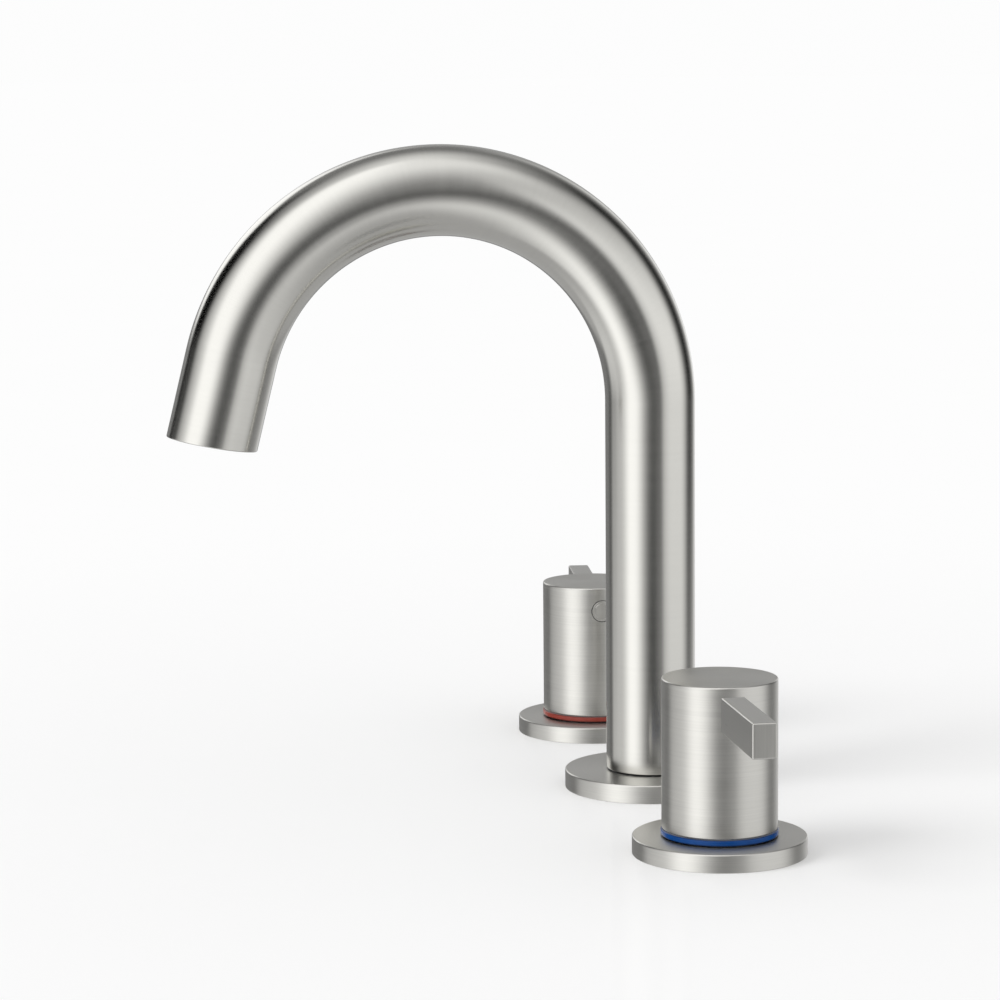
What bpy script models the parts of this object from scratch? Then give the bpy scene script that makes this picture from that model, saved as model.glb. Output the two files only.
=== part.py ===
"""Widespread bathroom faucet: an arched swivel spout between a hot and a cold quarter-turn handle.

Metres, +Z up. +X runs from the hot handle to the cold one, and -Y towards the person at the basin.
The origin is on the spout's axis, in the top face of the deck that the faucet is fastened to.
"""

import math

import bmesh
import bpy
from mathutils import Matrix, Vector

MM = 0.001

# Fits, shared by every piece
GAP = 0.3 * MM
OVERRUN = 2.0 * MM
MERGE = 0.01 * MM
EDGE = 0.5 * MM
DECK = 25.0 * MM
HANDLE_CENTRES = 203.2 * MM

# Number of flats on a round
SHOWN_SIDES = 36
TUBE_SIDES = 24
BORE_SIDES = 20
HIDDEN_SIDES = 16
SMALL_SIDES = 10
HEX_SIDES = 6
JET_SIDES = 4

# Spout tube
TUBE_RADIUS = 15.75 * MM
TUBE_WALL = 2.0 * MM
BEND_RADIUS = 74.5 * MM
BEND_HEIGHT = 138.0 * MM
BEND_SWEEP = math.radians(166.0)
BEND_STEPS = 18
TAIL_LENGTH = 30.0 * MM
SEAM = 0.5 * MM
OUTLET_TILT = math.radians(3.2)

# Plates on the deck
SPOUT_PLATE_RADIUS = 30.5 * MM
SPOUT_PLATE_HEIGHT = 6.5 * MM
HANDLE_PLATE_RADIUS = 28.6 * MM
HANDLE_PLATE_HEIGHT = 6.0 * MM
PLATE_SKIN = 2.0 * MM

# Swivel inside the foot of the tube
SLEEVE_WALL = 1.5 * MM
SLEEVE_LENGTH = 39.0 * MM
GLIDE_STEP = 0.6 * MM
GLIDE_RISE = 0.2 * MM
COLLAR_HEIGHT = 1.9 * MM
COLLAR_ROOM = 8.5 * MM
POST_SHORT = 2.0 * MM
RING_GROOVE_DEPTH = 1.8 * MM
RING_GROOVE_HEIGHT = 2.6 * MM
UPPER_GROOVE = 36.0 * MM
LOWER_GROOVE = 27.0 * MM
CATCH_HEIGHT = 9.5 * MM
CATCH_RADIUS = 2.5 * MM
CATCH_BITE = 1.7 * MM
CATCH_SINK = 0.4 * MM
SWIVEL_EACH_WAY = math.radians(60.0)

# Shank and fixings of the spout under the deck
SHANK_RADIUS = 10.3 * MM
SHANK_BORE = 6.0 * MM
SHANK_END = -56.0 * MM
WASHER_HEIGHT = 1.5 * MM
RUBBER_HEIGHT = 2.0 * MM
SPOUT_WASHER_RADIUS = 21.0 * MM
SPOUT_NUT_RADIUS = 18.0 * MM
NUT_HEIGHT = 8.0 * MM
TEE_RADIUS = 13.6 * MM
TEE_GRIP = 12.0 * MM
TEE_FLOOR = 1.5 * MM
NIPPLE_RADIUS = 6.5 * MM
NIPPLE_BORE = 4.0 * MM
TEE_REACH = 26.0 * MM

# Link tubes between the valves' nipples and the tee, with a union nut at each end
LINK_RADIUS = 4.75 * MM
LINK_BORE = 3.75 * MM
LINK_SIDES = 12
LINK_STEPS = 8
LINK_STRAIGHT = 9.0 * MM
UNION_RADIUS = 9.5 * MM
UNION_GRIP = 8.0 * MM
UNION_ROOM = 1.5 * MM
UNION_FLOOR = 2.5 * MM

# Aerator
AERATOR_SINK = 1.6 * MM
AERATOR_LENGTH = 14.0 * MM
AERATOR_WALL = 1.9 * MM
AERATOR_LIP = 1.2 * MM
AERATOR_CUP_WALL = 1.4 * MM
AERATOR_PLATE = 1.6 * MM
AERATOR_SEAL_WIDTH = 3.2 * MM
JET_RADIUS = 0.8 * MM
JET_PITCH = 3.4 * MM
JET_RINGS = 2
JETS_PER_RING = 6

# Knob and lever
KNOB_RADIUS = 18.95 * MM
KNOB_HEIGHT = 49.4 * MM
KNOB_WALL = 2.6 * MM
INDEX_RADIUS = 19.25 * MM
INDEX_HEIGHT = 2.0 * MM
LEVER_REACH = 60.2 * MM
LEVER_WIDTH = 7.9 * MM
LEVER_DEPTH = 11.4 * MM
LEVER_DROP = 3.1 * MM
STUD_RADIUS = 3.0 * MM
STUD_DEPTH = 8.0 * MM
PLUG_RADIUS = 3.9 * MM
PLUG_DEPTH = 2.3 * MM
HUB_HEIGHT = 19.0 * MM
GRUB_RADIUS = 2.5 * MM
GRUB_LENGTH = 9.5 * MM
HEX_RADIUS = 1.4 * MM
HEX_DEPTH = 2.2 * MM

# Stem and cartridge, from the seat upwards
SPLINE_RADIUS = 4.0 * MM
SPLINE_TOOTH = 0.4 * MM
SPLINE_TEETH = 12
SPLINE_CAP = 2.8 * MM
SHAFT_RADIUS = 4.6 * MM
NECK_LIFT = 3.0 * MM
TAB_WIDTH = 3.0 * MM
TAB_HEIGHT = 3.4 * MM
FOOT_WIDTH = 3.4 * MM
FOOT_HEIGHT = 3.9 * MM
FOOT_BITE = 1.3 * MM
SLOT_SPARE = 0.3 * MM
SEAT_HEIGHT = -62.0 * MM
SEAL_HEIGHT = 2.5 * MM
SEAL_WIDTH = 2.6 * MM
DISC_HEIGHT = 3.0 * MM
PORT_RADIUS = 1.9 * MM
PORT_PLACE = 4.6 * MM
WINDOW_HEIGHT = 6.0 * MM
WINDOW_WIDTH = 6.0 * MM
CHAMBER_WALL = 1.4 * MM
SHOULDER_HEIGHT = 2.4 * MM
NECK_WALL = 2.3 * MM
TURN = math.radians(90.0)

# Valve body and its fixings
BONNET_ROOM = 1.3 * MM
BONNET_WALL = 1.8 * MM
BONNET_TOP = 3.0 * MM
BONNET_GRIP = 7.7 * MM
BODY_TOP = 20.0 * MM
BODY_NECK_WALL = 1.7 * MM
BARREL_RADIUS = 13.9 * MM
CHAMBER_ROOM = 2.2 * MM
BLOCK_RADIUS = 15.6 * MM
BLOCK_TOP = -38.0 * MM
BLOCK_FLOOR = 4.0 * MM
INLET_RADIUS = 10.3 * MM
INLET_BORE = 6.0 * MM
INLET_LENGTH = 18.0 * MM
OUTLET_REACH = 30.0 * MM
RING_NUT_RADIUS = 20.0 * MM
LOCK_WASHER_RADIUS = 21.0 * MM
LOCK_NUT_RADIUS = 20.5 * MM

# How far each lever stands from straight out, in the photograph; turning left is positive
HOT_LAG = math.radians(-6.3)
COLD_LAG = math.radians(-0.7)

# Worked out from the sizes above: spout
HALF_CENTRES = HANDLE_CENTRES / 2
HALF_TURN = math.pi
QUARTER_TURN = math.pi / 2
TUBE_BORE = TUBE_RADIUS - TUBE_WALL
TUBE_FOOT = SPOUT_PLATE_HEIGHT + SEAM
SLEEVE_RADIUS = TUBE_BORE - GAP
SLEEVE_BORE = SLEEVE_RADIUS - SLEEVE_WALL
POST_RADIUS = SLEEVE_BORE - GAP
POST_TOP = TUBE_FOOT + SLEEVE_LENGTH - POST_SHORT
SPOUT_CEILING = SPOUT_PLATE_HEIGHT - PLATE_SKIN
COLLAR_TOP = SPOUT_CEILING - GAP
COLLAR_FOOT = COLLAR_TOP - COLLAR_HEIGHT
COLLAR_RADIUS = SPOUT_PLATE_RADIUS - PLATE_SKIN - COLLAR_ROOM
GLIDE_RADIUS = TUBE_RADIUS - GLIDE_STEP
CATCH_PLACE = TUBE_FOOT + CATCH_HEIGHT
SLOT_FLOOR = POST_RADIUS - CATCH_BITE - GAP
CATCH_ROOM = math.asin((CATCH_RADIUS + GAP) / SLOT_FLOOR)
OUTLET_ANGLE = BEND_SWEEP - HALF_TURN
BEND_CENTRE = Vector((0, -BEND_RADIUS, BEND_HEIGHT))
TAIL_RUN = Vector((0, -math.sin(BEND_SWEEP), math.cos(BEND_SWEEP)))
BEND_END = BEND_CENTRE + Vector((0, math.cos(BEND_SWEEP), math.sin(BEND_SWEEP))) * BEND_RADIUS
OUTLET = BEND_END + TAIL_RUN * TAIL_LENGTH
CROSS_HEIGHT = SHANK_END - GAP - TEE_FLOOR - NIPPLE_RADIUS
TEE_FOOT = CROSS_HEIGHT - NIPPLE_RADIUS - TEE_FLOOR

# Worked out from the sizes above: handles
INDEX_FOOT = HANDLE_PLATE_HEIGHT + GAP
INDEX_TOP = INDEX_FOOT + INDEX_HEIGHT
KNOB_FOOT = INDEX_TOP + GAP
KNOB_TOP = KNOB_FOOT + KNOB_HEIGHT
KNOB_BORE = KNOB_RADIUS - KNOB_WALL
KNOB_CEILING = KNOB_TOP - KNOB_WALL
LEVER_TOP = KNOB_TOP - LEVER_DROP
LEVER_LEVEL = LEVER_TOP - LEVER_DEPTH / 2
HUB_RADIUS = KNOB_BORE - GAP
HUB_TOP = KNOB_CEILING - GAP
HUB_FOOT = HUB_TOP - HUB_HEIGHT
STEM_TOP = HUB_TOP - SPLINE_CAP - GAP
SHAFT_TOP = HUB_FOOT - GAP
NECK_TOP = SHAFT_TOP - NECK_LIFT
TAB_TOP = NECK_TOP
TAB_FOOT = TAB_TOP - TAB_HEIGHT
BONNET_RADIUS = KNOB_BORE - BONNET_ROOM
BONNET_BORE = BONNET_RADIUS * math.cos(HALF_TURN / HEX_SIDES) - BONNET_WALL
BODY_NECK = BONNET_BORE - GAP
BODY_BORE = BODY_NECK - BODY_NECK_WALL
BODY_SHOULDER = INDEX_TOP - GAP
SHOULDER_FOOT = BODY_TOP + GAP
SHOULDER_TOP = SHOULDER_FOOT + SHOULDER_HEIGHT
BONNET_CEILING = SHOULDER_TOP + GAP
CARTRIDGE_RADIUS = BODY_BORE - GAP
SHAFT_BORE = SHAFT_RADIUS + GAP
CARTRIDGE_NECK = SHAFT_BORE + NECK_WALL
CHAMBER_RADIUS = CARTRIDGE_RADIUS - CHAMBER_WALL
DISC_RADIUS = CHAMBER_RADIUS - GAP
CARTRIDGE_FOOT = SEAT_HEIGHT + GAP
LOWER_DISC_FOOT = CARTRIDGE_FOOT + SEAL_HEIGHT + GAP
UPPER_DISC_FOOT = LOWER_DISC_FOOT + DISC_HEIGHT + GAP
UPPER_DISC_TOP = UPPER_DISC_FOOT + DISC_HEIGHT
FOOT_FOOT = UPPER_DISC_TOP - FOOT_BITE
FOOT_TOP = FOOT_FOOT + FOOT_HEIGHT
WINDOW_FOOT = FOOT_TOP + GAP
WINDOW_TOP = WINDOW_FOOT + WINDOW_HEIGHT
CHAMBER_TOP = WINDOW_TOP + GAP
SIDE_OUTLET = (WINDOW_FOOT + WINDOW_TOP) / 2
CASTING_ROOM = BODY_BORE + CHAMBER_ROOM
BLOCK_FOOT = SEAT_HEIGHT - BLOCK_FLOOR
INLET_END = BLOCK_FOOT - INLET_LENGTH
CARTRIDGE_GROOVE = BODY_TOP / 2
CARTRIDGE_GROOVE_RADIUS = CARTRIDGE_RADIUS - RING_GROOVE_DEPTH / 2
HANDLE_CEILING = HANDLE_PLATE_HEIGHT - PLATE_SKIN
BARREL_HOLE = BARREL_RADIUS + GAP

SIDES = {
    "hot": {"place": -HALF_CENTRES, "outward": HALF_TURN, "lag": HOT_LAG, "opens": 1},
    "cold": {"place": HALF_CENTRES, "outward": 0, "lag": COLD_LAG, "opens": -1},
}


def clear_scene():
    for old in list(bpy.data.objects):
        bpy.data.objects.remove(old, do_unlink=True)


def collection(name):
    made = bpy.data.collections.new(name)
    bpy.context.scene.collection.children.link(made)
    return made


def material(name, colour, roughness, metallic):
    made = bpy.data.materials.new(name)
    made.use_nodes = True
    shader = made.node_tree.nodes["Principled BSDF"]
    shader.inputs["Base Color"].default_value = (*colour, 1.0)
    shader.inputs["Roughness"].default_value = roughness
    shader.inputs["Metallic"].default_value = metallic
    made.diffuse_color = (*colour, 1.0)
    return made


clear_scene()
FAUCET = collection("bathroom_faucet")
CUTTERS = collection("cutters")
NICKEL = material("brushed_nickel", (0.63, 0.61, 0.59), 0.32, 1.0)
BRASS = material("brass", (0.72, 0.53, 0.27), 0.35, 1.0)
COPPER = material("copper", (0.72, 0.38, 0.24), 0.35, 1.0)
STEEL = material("stainless_steel", (0.56, 0.57, 0.58), 0.4, 1.0)
RUBBER = material("black_rubber", (0.03, 0.03, 0.03), 0.7, 0.0)
BLACK = material("black_nylon", (0.04, 0.04, 0.045), 0.45, 0.0)
WHITE = material("white_acetal", (0.82, 0.82, 0.8), 0.4, 0.0)
CERAMIC = material("white_ceramic", (0.88, 0.87, 0.84), 0.2, 0.0)
RED = material("red_plastic", (0.5, 0.06, 0.04), 0.35, 0.0)
BLUE = material("blue_plastic", (0.03, 0.1, 0.42), 0.35, 0.0)


def empty(name, place, tilt=0):
    """A named place that pieces hang from; tilt turns it about X."""
    made = bpy.data.objects.new(name, None)
    made.location = place
    made.rotation_euler = (tilt, 0, 0)
    FAUCET.objects.link(made)
    return made


def piece(name, mesh, paint, home):
    """A sub-part: its own object, hanging from an empty whose origin is its axis."""
    made = bpy.data.objects.new(name, mesh)
    mesh.materials.append(paint)
    FAUCET.objects.link(made)
    made.parent = home
    return made


def cutter(name, mesh, home):
    made = bpy.data.objects.new(name, mesh)
    CUTTERS.objects.link(made)
    made.parent = home
    made.hide_render = True
    made.display_type = "WIRE"
    return made


def combine(target, tool, operation):
    step = target.modifiers.new(operation.lower(), "BOOLEAN")
    step.operation = operation
    step.object = tool


def cut(target, mesh):
    """Take the mesh, made in the target's own frame, out of the target."""
    combine(target, cutter(mesh.name, mesh, target.parent), "DIFFERENCE")


def join(target, mesh):
    """Fuse the mesh, made in the target's own frame, to the target."""
    combine(target, cutter(mesh.name, mesh, target.parent), "UNION")


def finish_mesh(name, form):
    mesh = bpy.data.meshes.new(name)
    bmesh.ops.recalc_face_normals(form, faces=form.faces)
    form.to_mesh(mesh)
    form.free()
    return mesh


def rod_mesh(name, radius, start, end, sides=HIDDEN_SIDES):
    """A round rod between two points."""
    start = Vector(start)
    run = Vector(end) - start
    turn = Vector((0, 0, 1)).rotation_difference(run).to_matrix().to_4x4()
    form = bmesh.new()
    bmesh.ops.create_cone(form, cap_ends=True, segments=sides, radius1=radius, radius2=radius,
                          depth=run.length, matrix=Matrix.Translation(start + run / 2) @ turn)
    return finish_mesh(name, form)


def box_mesh(name, low, high, turn=0):
    """A box between two corners, turned about Z."""
    low = Vector(low)
    size = Vector(high) - low
    scale = Matrix.Diagonal((*size, 1))
    form = bmesh.new()
    bmesh.ops.create_cube(form, size=1, matrix=Matrix.Translation(low + size / 2) @ scale)
    form.transform(Matrix.Rotation(turn, 4, "Z"))
    return finish_mesh(name, form)


def spline_mesh(name, outer, root, low, high):
    """A toothed shaft: a star outline drawn up along Z."""
    form = bmesh.new()
    rim = []
    for step in range(SPLINE_TEETH * 2):
        angle = HALF_TURN * step / SPLINE_TEETH
        radius = root if step % 2 else outer
        rim.append(form.verts.new((radius * math.cos(angle), radius * math.sin(angle), low)))
    base = form.faces.new(rim)
    grown = bmesh.ops.extrude_face_region(form, geom=[base])
    risen = [item for item in grown["geom"] if isinstance(item, bmesh.types.BMVert)]
    bmesh.ops.translate(form, verts=risen, vec=(0, 0, high - low))
    return finish_mesh(name, form)


def sector_mesh(name, inner, outer, low, high, middle, half_angle):
    """Part of a flat ring, from middle - half_angle to middle + half_angle about Z."""
    form = bmesh.new()
    corners = [(inner, 0, low), (outer, 0, low), (outer, 0, high), (inner, 0, high)]
    section = form.faces.new([form.verts.new(corner) for corner in corners])
    bmesh.ops.spin(form, geom=[section, *section.edges, *section.verts], cent=(0, 0, 0), axis=(0, 0, 1),
                   angle=2 * half_angle, steps=SMALL_SIDES)
    form.transform(Matrix.Rotation(middle - half_angle, 4, "Z"))
    return finish_mesh(name, form)


def turned(name, outline, paint, home, sides=HIDDEN_SIDES, closed=True):
    """A body turned about Z from (radius, height) points that run down its outer side.

    A closed outline makes a ring; an open one starts and ends on the axis.
    """
    form = bmesh.new()
    corners = [form.verts.new((radius, 0, height)) for radius, height in outline]
    for first, second in zip(corners, corners[1:]):
        form.edges.new((first, second))
    if closed:
        form.edges.new((corners[-1], corners[0]))
    mesh = bpy.data.meshes.new(name)
    form.to_mesh(mesh)
    form.free()
    made = piece(name, mesh, paint, home)
    lathe = made.modifiers.new("lathe", "SCREW")
    lathe.axis = "Z"
    lathe.steps = sides
    lathe.render_steps = sides
    lathe.use_merge_vertices = True
    lathe.merge_threshold = MERGE
    lathe.use_smooth_shade = True
    return made


def ring(name, inner, outer, low, high, paint, home, sides=HIDDEN_SIDES):
    outline = [(outer, high), (outer, low), (inner, low), (inner, high)]
    return turned(name, outline, paint, home, sides)


def soft_ring(name, inner, outer, low, high, paint, home):
    """A seal with a six-sided section, its flats against the two walls."""
    middle = (inner + outer) / 2
    ease = (high - low) / 4
    outline = [
        (middle, high), (outer, high - ease), (outer, low + ease),
        (middle, low), (inner, low + ease), (inner, high - ease),
    ]
    return turned(name, outline, paint, home)


def hex_nut(name, radius, hole, low, high, paint, home):
    """A nut with six flats; radius is to its corners."""
    mesh = rod_mesh(name, radius, (0, 0, low), (0, 0, high), HEX_SIDES)
    made = piece(name, mesh, paint, home)
    cut(made, rod_mesh(name + "_hole", hole, (0, 0, low - OVERRUN), (0, 0, high + OVERRUN)))
    return made


def around(radius, angle, height):
    return Vector((radius * math.cos(angle), radius * math.sin(angle), height))


def deck_plate(name, radius, height, hole, home):
    """A round cover plate, hollow below, that rests on the deck on its rim."""
    ceiling = height - PLATE_SKIN
    outline = [
        (hole, height), (radius - EDGE, height), (radius, height - EDGE), (radius, 0),
        (radius - PLATE_SKIN, 0), (radius - PLATE_SKIN, ceiling), (hole, ceiling),
    ]
    return turned(name, outline, NICKEL, home, SHOWN_SIDES)


def swept_mesh(name, radius, path, sides):
    """A closed round tube along a list of points."""
    route = bpy.data.curves.new(name + "_route", "CURVE")
    route.dimensions = "3D"
    route.bevel_depth = radius
    route.bevel_resolution = (sides - 4) // 2
    route.use_fill_caps = True
    line = route.splines.new("POLY")
    line.points.add(len(path) - 1)
    for spot, place in zip(line.points, path):
        spot.co = (*place, 1)
    guide = bpy.data.objects.new(name + "_route", route)
    CUTTERS.objects.link(guide)
    bpy.context.view_layer.update()
    shaped = guide.evaluated_get(bpy.context.evaluated_depsgraph_get())
    mesh = bpy.data.meshes.new_from_object(shaped)
    mesh.name = name
    bpy.data.objects.remove(guide, do_unlink=True)
    bpy.data.curves.remove(route)
    form = bmesh.new()
    form.from_mesh(mesh)
    bmesh.ops.remove_doubles(form, verts=form.verts, dist=MERGE)
    bmesh.ops.recalc_face_normals(form, faces=form.faces)
    form.to_mesh(mesh)
    form.free()
    return mesh


def spout_path(extra):
    """The tube's centre line: foot, arch and tail, lengthened by extra at the tail."""
    path = [Vector((0, 0, TUBE_FOOT))]
    for step in range(BEND_STEPS + 1):
        angle = BEND_SWEEP * step / BEND_STEPS
        path.append(BEND_CENTRE + Vector((0, math.cos(angle), math.sin(angle))) * BEND_RADIUS)
    path.append(OUTLET + TAIL_RUN * extra)
    return path


def spout_tube(home):
    mesh = swept_mesh("spout_tube", TUBE_RADIUS, spout_path(OVERRUN), TUBE_SIDES)
    made = piece("spout_tube", mesh, NICKEL, home)
    bore_path = spout_path(2 * OVERRUN)
    bore_path[0] = bore_path[0] - Vector((0, 0, OVERRUN))
    cut(made, swept_mesh("tube_bore", TUBE_BORE, bore_path, BORE_SIDES))
    tilt = BEND_SWEEP + OUTLET_TILT
    away = Vector((0, -math.sin(tilt), math.cos(tilt)))
    cut(made, rod_mesh("outlet_trim", TUBE_RADIUS + 2 * OVERRUN, OUTLET, OUTLET + away * TUBE_RADIUS))
    cut(made, rod_mesh("catch_hole", CATCH_RADIUS + GAP, (0, POST_RADIUS, CATCH_PLACE),
                       (0, TUBE_RADIUS + OVERRUN, CATCH_PLACE), SMALL_SIDES))
    return made


def spout_sleeve(home):
    high = TUBE_FOOT + SLEEVE_LENGTH
    made = ring("spout_sleeve", SLEEVE_BORE, SLEEVE_RADIUS, TUBE_FOOT, high, BRASS, home)
    cut(made, rod_mesh("sleeve_hole", CATCH_RADIUS + GAP, (0, 0, CATCH_PLACE),
                       (0, TUBE_RADIUS, CATCH_PLACE), SMALL_SIDES))
    return made


def spout_set_screw(home):
    """Grub screw at the back of the tube; its tip runs in the post's slot and stops the swivel."""
    tip = (0, SLOT_FLOOR + GAP, CATCH_PLACE)
    head = (0, TUBE_RADIUS - CATCH_SINK, CATCH_PLACE)
    mesh = rod_mesh("spout_set_screw", CATCH_RADIUS, tip, head, SMALL_SIDES)
    made = piece("spout_set_screw", mesh, STEEL, home)
    key = (0, TUBE_RADIUS - CATCH_SINK - HEX_DEPTH, CATCH_PLACE)
    past = (0, TUBE_RADIUS + OVERRUN, CATCH_PLACE)
    cut(made, rod_mesh("spout_key", HEX_RADIUS, key, past, HEX_SIDES))
    return made


def spout_shank(home):
    """Fixed post that the tube turns on, its collar on the deck and its threaded shank below."""
    groove = POST_RADIUS - RING_GROOVE_DEPTH
    outline = [(SHANK_BORE, POST_TOP), (POST_RADIUS, POST_TOP)]
    for place in (UPPER_GROOVE, LOWER_GROOVE):
        top = place + RING_GROOVE_HEIGHT
        outline += [(POST_RADIUS, top), (groove, top), (groove, place), (POST_RADIUS, place)]
    outline += [
        (POST_RADIUS, COLLAR_TOP), (COLLAR_RADIUS, COLLAR_TOP), (COLLAR_RADIUS, COLLAR_FOOT),
        (SHANK_RADIUS, COLLAR_FOOT), (SHANK_RADIUS, SHANK_END), (SHANK_BORE, SHANK_END),
    ]
    made = turned("spout_shank", outline, BRASS, home)
    reach = CATCH_RADIUS + GAP
    half = SWIVEL_EACH_WAY + CATCH_ROOM
    cut(made, sector_mesh("stop_slot", SLOT_FLOOR, POST_RADIUS + OVERRUN, CATCH_PLACE - reach,
                          CATCH_PLACE + reach, QUARTER_TURN, half))
    return made


def spout_seals(home):
    """The two O-rings in the post's grooves."""
    inner = POST_RADIUS - RING_GROOVE_DEPTH + GAP
    for name, place in (("spout_upper_o_ring", UPPER_GROOVE), ("spout_lower_o_ring", LOWER_GROOVE)):
        high = place + RING_GROOVE_HEIGHT - GAP
        soft_ring(name, inner, POST_RADIUS, place + GAP, high, RUBBER, home)


def spout_seat(home):
    """What lies between the deck, the collar and the tube's foot."""
    ring("spout_glide_ring", POST_RADIUS + GAP, GLIDE_RADIUS, SPOUT_CEILING,
         SPOUT_PLATE_HEIGHT + GLIDE_RISE, BLACK, home, TUBE_SIDES)
    deck_plate("spout_escutcheon", SPOUT_PLATE_RADIUS, SPOUT_PLATE_HEIGHT, GLIDE_RADIUS + GAP, home)
    ring("spout_deck_gasket", SHANK_RADIUS + GAP, COLLAR_RADIUS, 0, COLLAR_FOOT - GAP, RUBBER, home)


def spout_fixings(home):
    """Gasket, washer and nut that clamp the shank to the deck from below."""
    hole = SHANK_RADIUS + GAP
    gasket_top = -DECK - GAP
    washer_top = gasket_top - RUBBER_HEIGHT - GAP
    nut_top = washer_top - WASHER_HEIGHT - GAP
    rim = SPOUT_WASHER_RADIUS
    ring("spout_lower_gasket", hole, rim, gasket_top - RUBBER_HEIGHT, gasket_top, RUBBER, home)
    ring("spout_washer", hole, rim, washer_top - WASHER_HEIGHT, washer_top, STEEL, home)
    hex_nut("spout_mounting_nut", SPOUT_NUT_RADIUS, hole, nut_top - NUT_HEIGHT, nut_top, BRASS, home)


def spout_tee(home):
    """Fitting on the shank's end that takes the hot and the cold supply from the sides."""
    socket = SHANK_RADIUS + GAP
    floor = SHANK_END - GAP
    top = SHANK_END + TEE_GRIP
    outline = [
        (0, floor), (socket, floor), (socket, top),
        (TEE_RADIUS, top), (TEE_RADIUS, TEE_FOOT), (0, TEE_FOOT),
    ]
    made = turned("spout_tee", outline, BRASS, home, closed=False)
    end = TEE_REACH
    past = TEE_REACH + OVERRUN
    level = CROSS_HEIGHT
    join(made, rod_mesh("tee_arms", NIPPLE_RADIUS, (-end, 0, level), (end, 0, level)))
    cut(made, rod_mesh("tee_cross_bore", NIPPLE_BORE, (-past, 0, level), (past, 0, level), SMALL_SIDES))
    cut(made, rod_mesh("tee_riser", NIPPLE_BORE, (0, 0, level), (0, 0, floor + OVERRUN), SMALL_SIDES))
    return made


def aerator(home):
    """Screen unit inside the outlet; home's Z runs up the tail from the outlet's centre."""
    outer = TUBE_BORE - GAP
    bore = outer - AERATOR_WALL
    top = AERATOR_SINK + AERATOR_LENGTH
    lip = bore - AERATOR_LIP
    ledge = AERATOR_SINK + AERATOR_LIP
    foot = AERATOR_SINK
    outline = [(bore, top), (outer, top), (outer, foot), (lip, foot), (lip, ledge), (bore, ledge)]
    turned("spout_aerator_housing", outline, NICKEL, home, BORE_SIDES)
    cup = bore - GAP
    inside = cup - AERATOR_CUP_WALL
    foot = ledge + GAP
    plate = foot + AERATOR_PLATE
    outline = [(0, plate), (inside, plate), (inside, top), (cup, top), (cup, foot), (0, foot)]
    insert = turned("spout_aerator_insert", outline, WHITE, home, closed=False)
    cut(insert, jets_mesh(foot - OVERRUN, plate + OVERRUN))
    low = top + GAP
    ring("spout_aerator_washer", outer - AERATOR_SEAL_WIDTH, outer, low, low + RUBBER_HEIGHT, RUBBER, home)


def jets_mesh(low, high):
    """Holes of the aerator's plate, in rings round a middle one."""
    form = bmesh.new()
    middle = (low + high) / 2
    spots = [Vector((0, 0, middle))]
    for number in range(1, JET_RINGS + 1):
        count = JETS_PER_RING * number
        for step in range(count):
            spots.append(around(number * JET_PITCH, 2 * HALF_TURN * step / count, middle))
    for spot in spots:
        bmesh.ops.create_cone(form, cap_ends=True, segments=JET_SIDES, radius1=JET_RADIUS,
                              radius2=JET_RADIUS, depth=high - low, matrix=Matrix.Translation(spot))
    return finish_mesh("jets", form)


def knob(name, side, home):
    """Upright cylinder, open below, with a hole for the lever's stud and one for the plug."""
    outline = [
        (0, KNOB_TOP), (KNOB_RADIUS - EDGE, KNOB_TOP), (KNOB_RADIUS, KNOB_TOP - EDGE),
        (KNOB_RADIUS, KNOB_FOOT), (KNOB_BORE, KNOB_FOOT), (KNOB_BORE, KNOB_CEILING), (0, KNOB_CEILING),
    ]
    made = turned(name + "_knob", outline, NICKEL, home, SHOWN_SIDES, closed=False)
    inner = KNOB_BORE - OVERRUN
    past = KNOB_RADIUS + OVERRUN
    out = side["outward"] + side["lag"]
    back = side["outward"] + HALF_TURN
    cut(made, rod_mesh(name + "_stud_hole", STUD_RADIUS + GAP, around(inner, out, LEVER_LEVEL),
                       around(past, out, LEVER_LEVEL), SMALL_SIDES))
    cut(made, rod_mesh(name + "_plug_hole", PLUG_RADIUS + GAP, around(inner, back, LEVER_LEVEL),
                       around(past, back, LEVER_LEVEL)))
    return made


def lever(name, side, home):
    """Square bar, hollowed at its root to the knob's round, with a stud that screws into the hub."""
    out = side["outward"] + side["lag"]
    half = LEVER_WIDTH / 2
    low = (KNOB_BORE, -half, LEVER_TOP - LEVER_DEPTH)
    mesh = box_mesh(name + "_lever", low, (LEVER_REACH, half, LEVER_TOP), out)
    made = piece(name + "_lever", mesh, NICKEL, home)
    ease = made.modifiers.new("eased_edges", "BEVEL")
    ease.width = EDGE
    ease.segments = 1
    root = KNOB_RADIUS + GAP
    cut(made, rod_mesh(name + "_lever_root", root, (0, 0, KNOB_FOOT), (0, 0, KNOB_TOP), SHOWN_SIDES))
    join(made, rod_mesh(name + "_stud", STUD_RADIUS, around(STUD_DEPTH, out, LEVER_LEVEL),
                        around(root + OVERRUN, out, LEVER_LEVEL), SMALL_SIDES))
    return made


def plug(name, side, home):
    back = side["outward"] + HALF_TURN
    mesh = rod_mesh(name + "_plug", PLUG_RADIUS, around(KNOB_RADIUS - PLUG_DEPTH, back, LEVER_LEVEL),
                    around(KNOB_RADIUS, back, LEVER_LEVEL))
    return piece(name + "_plug", mesh, NICKEL, home)


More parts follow.
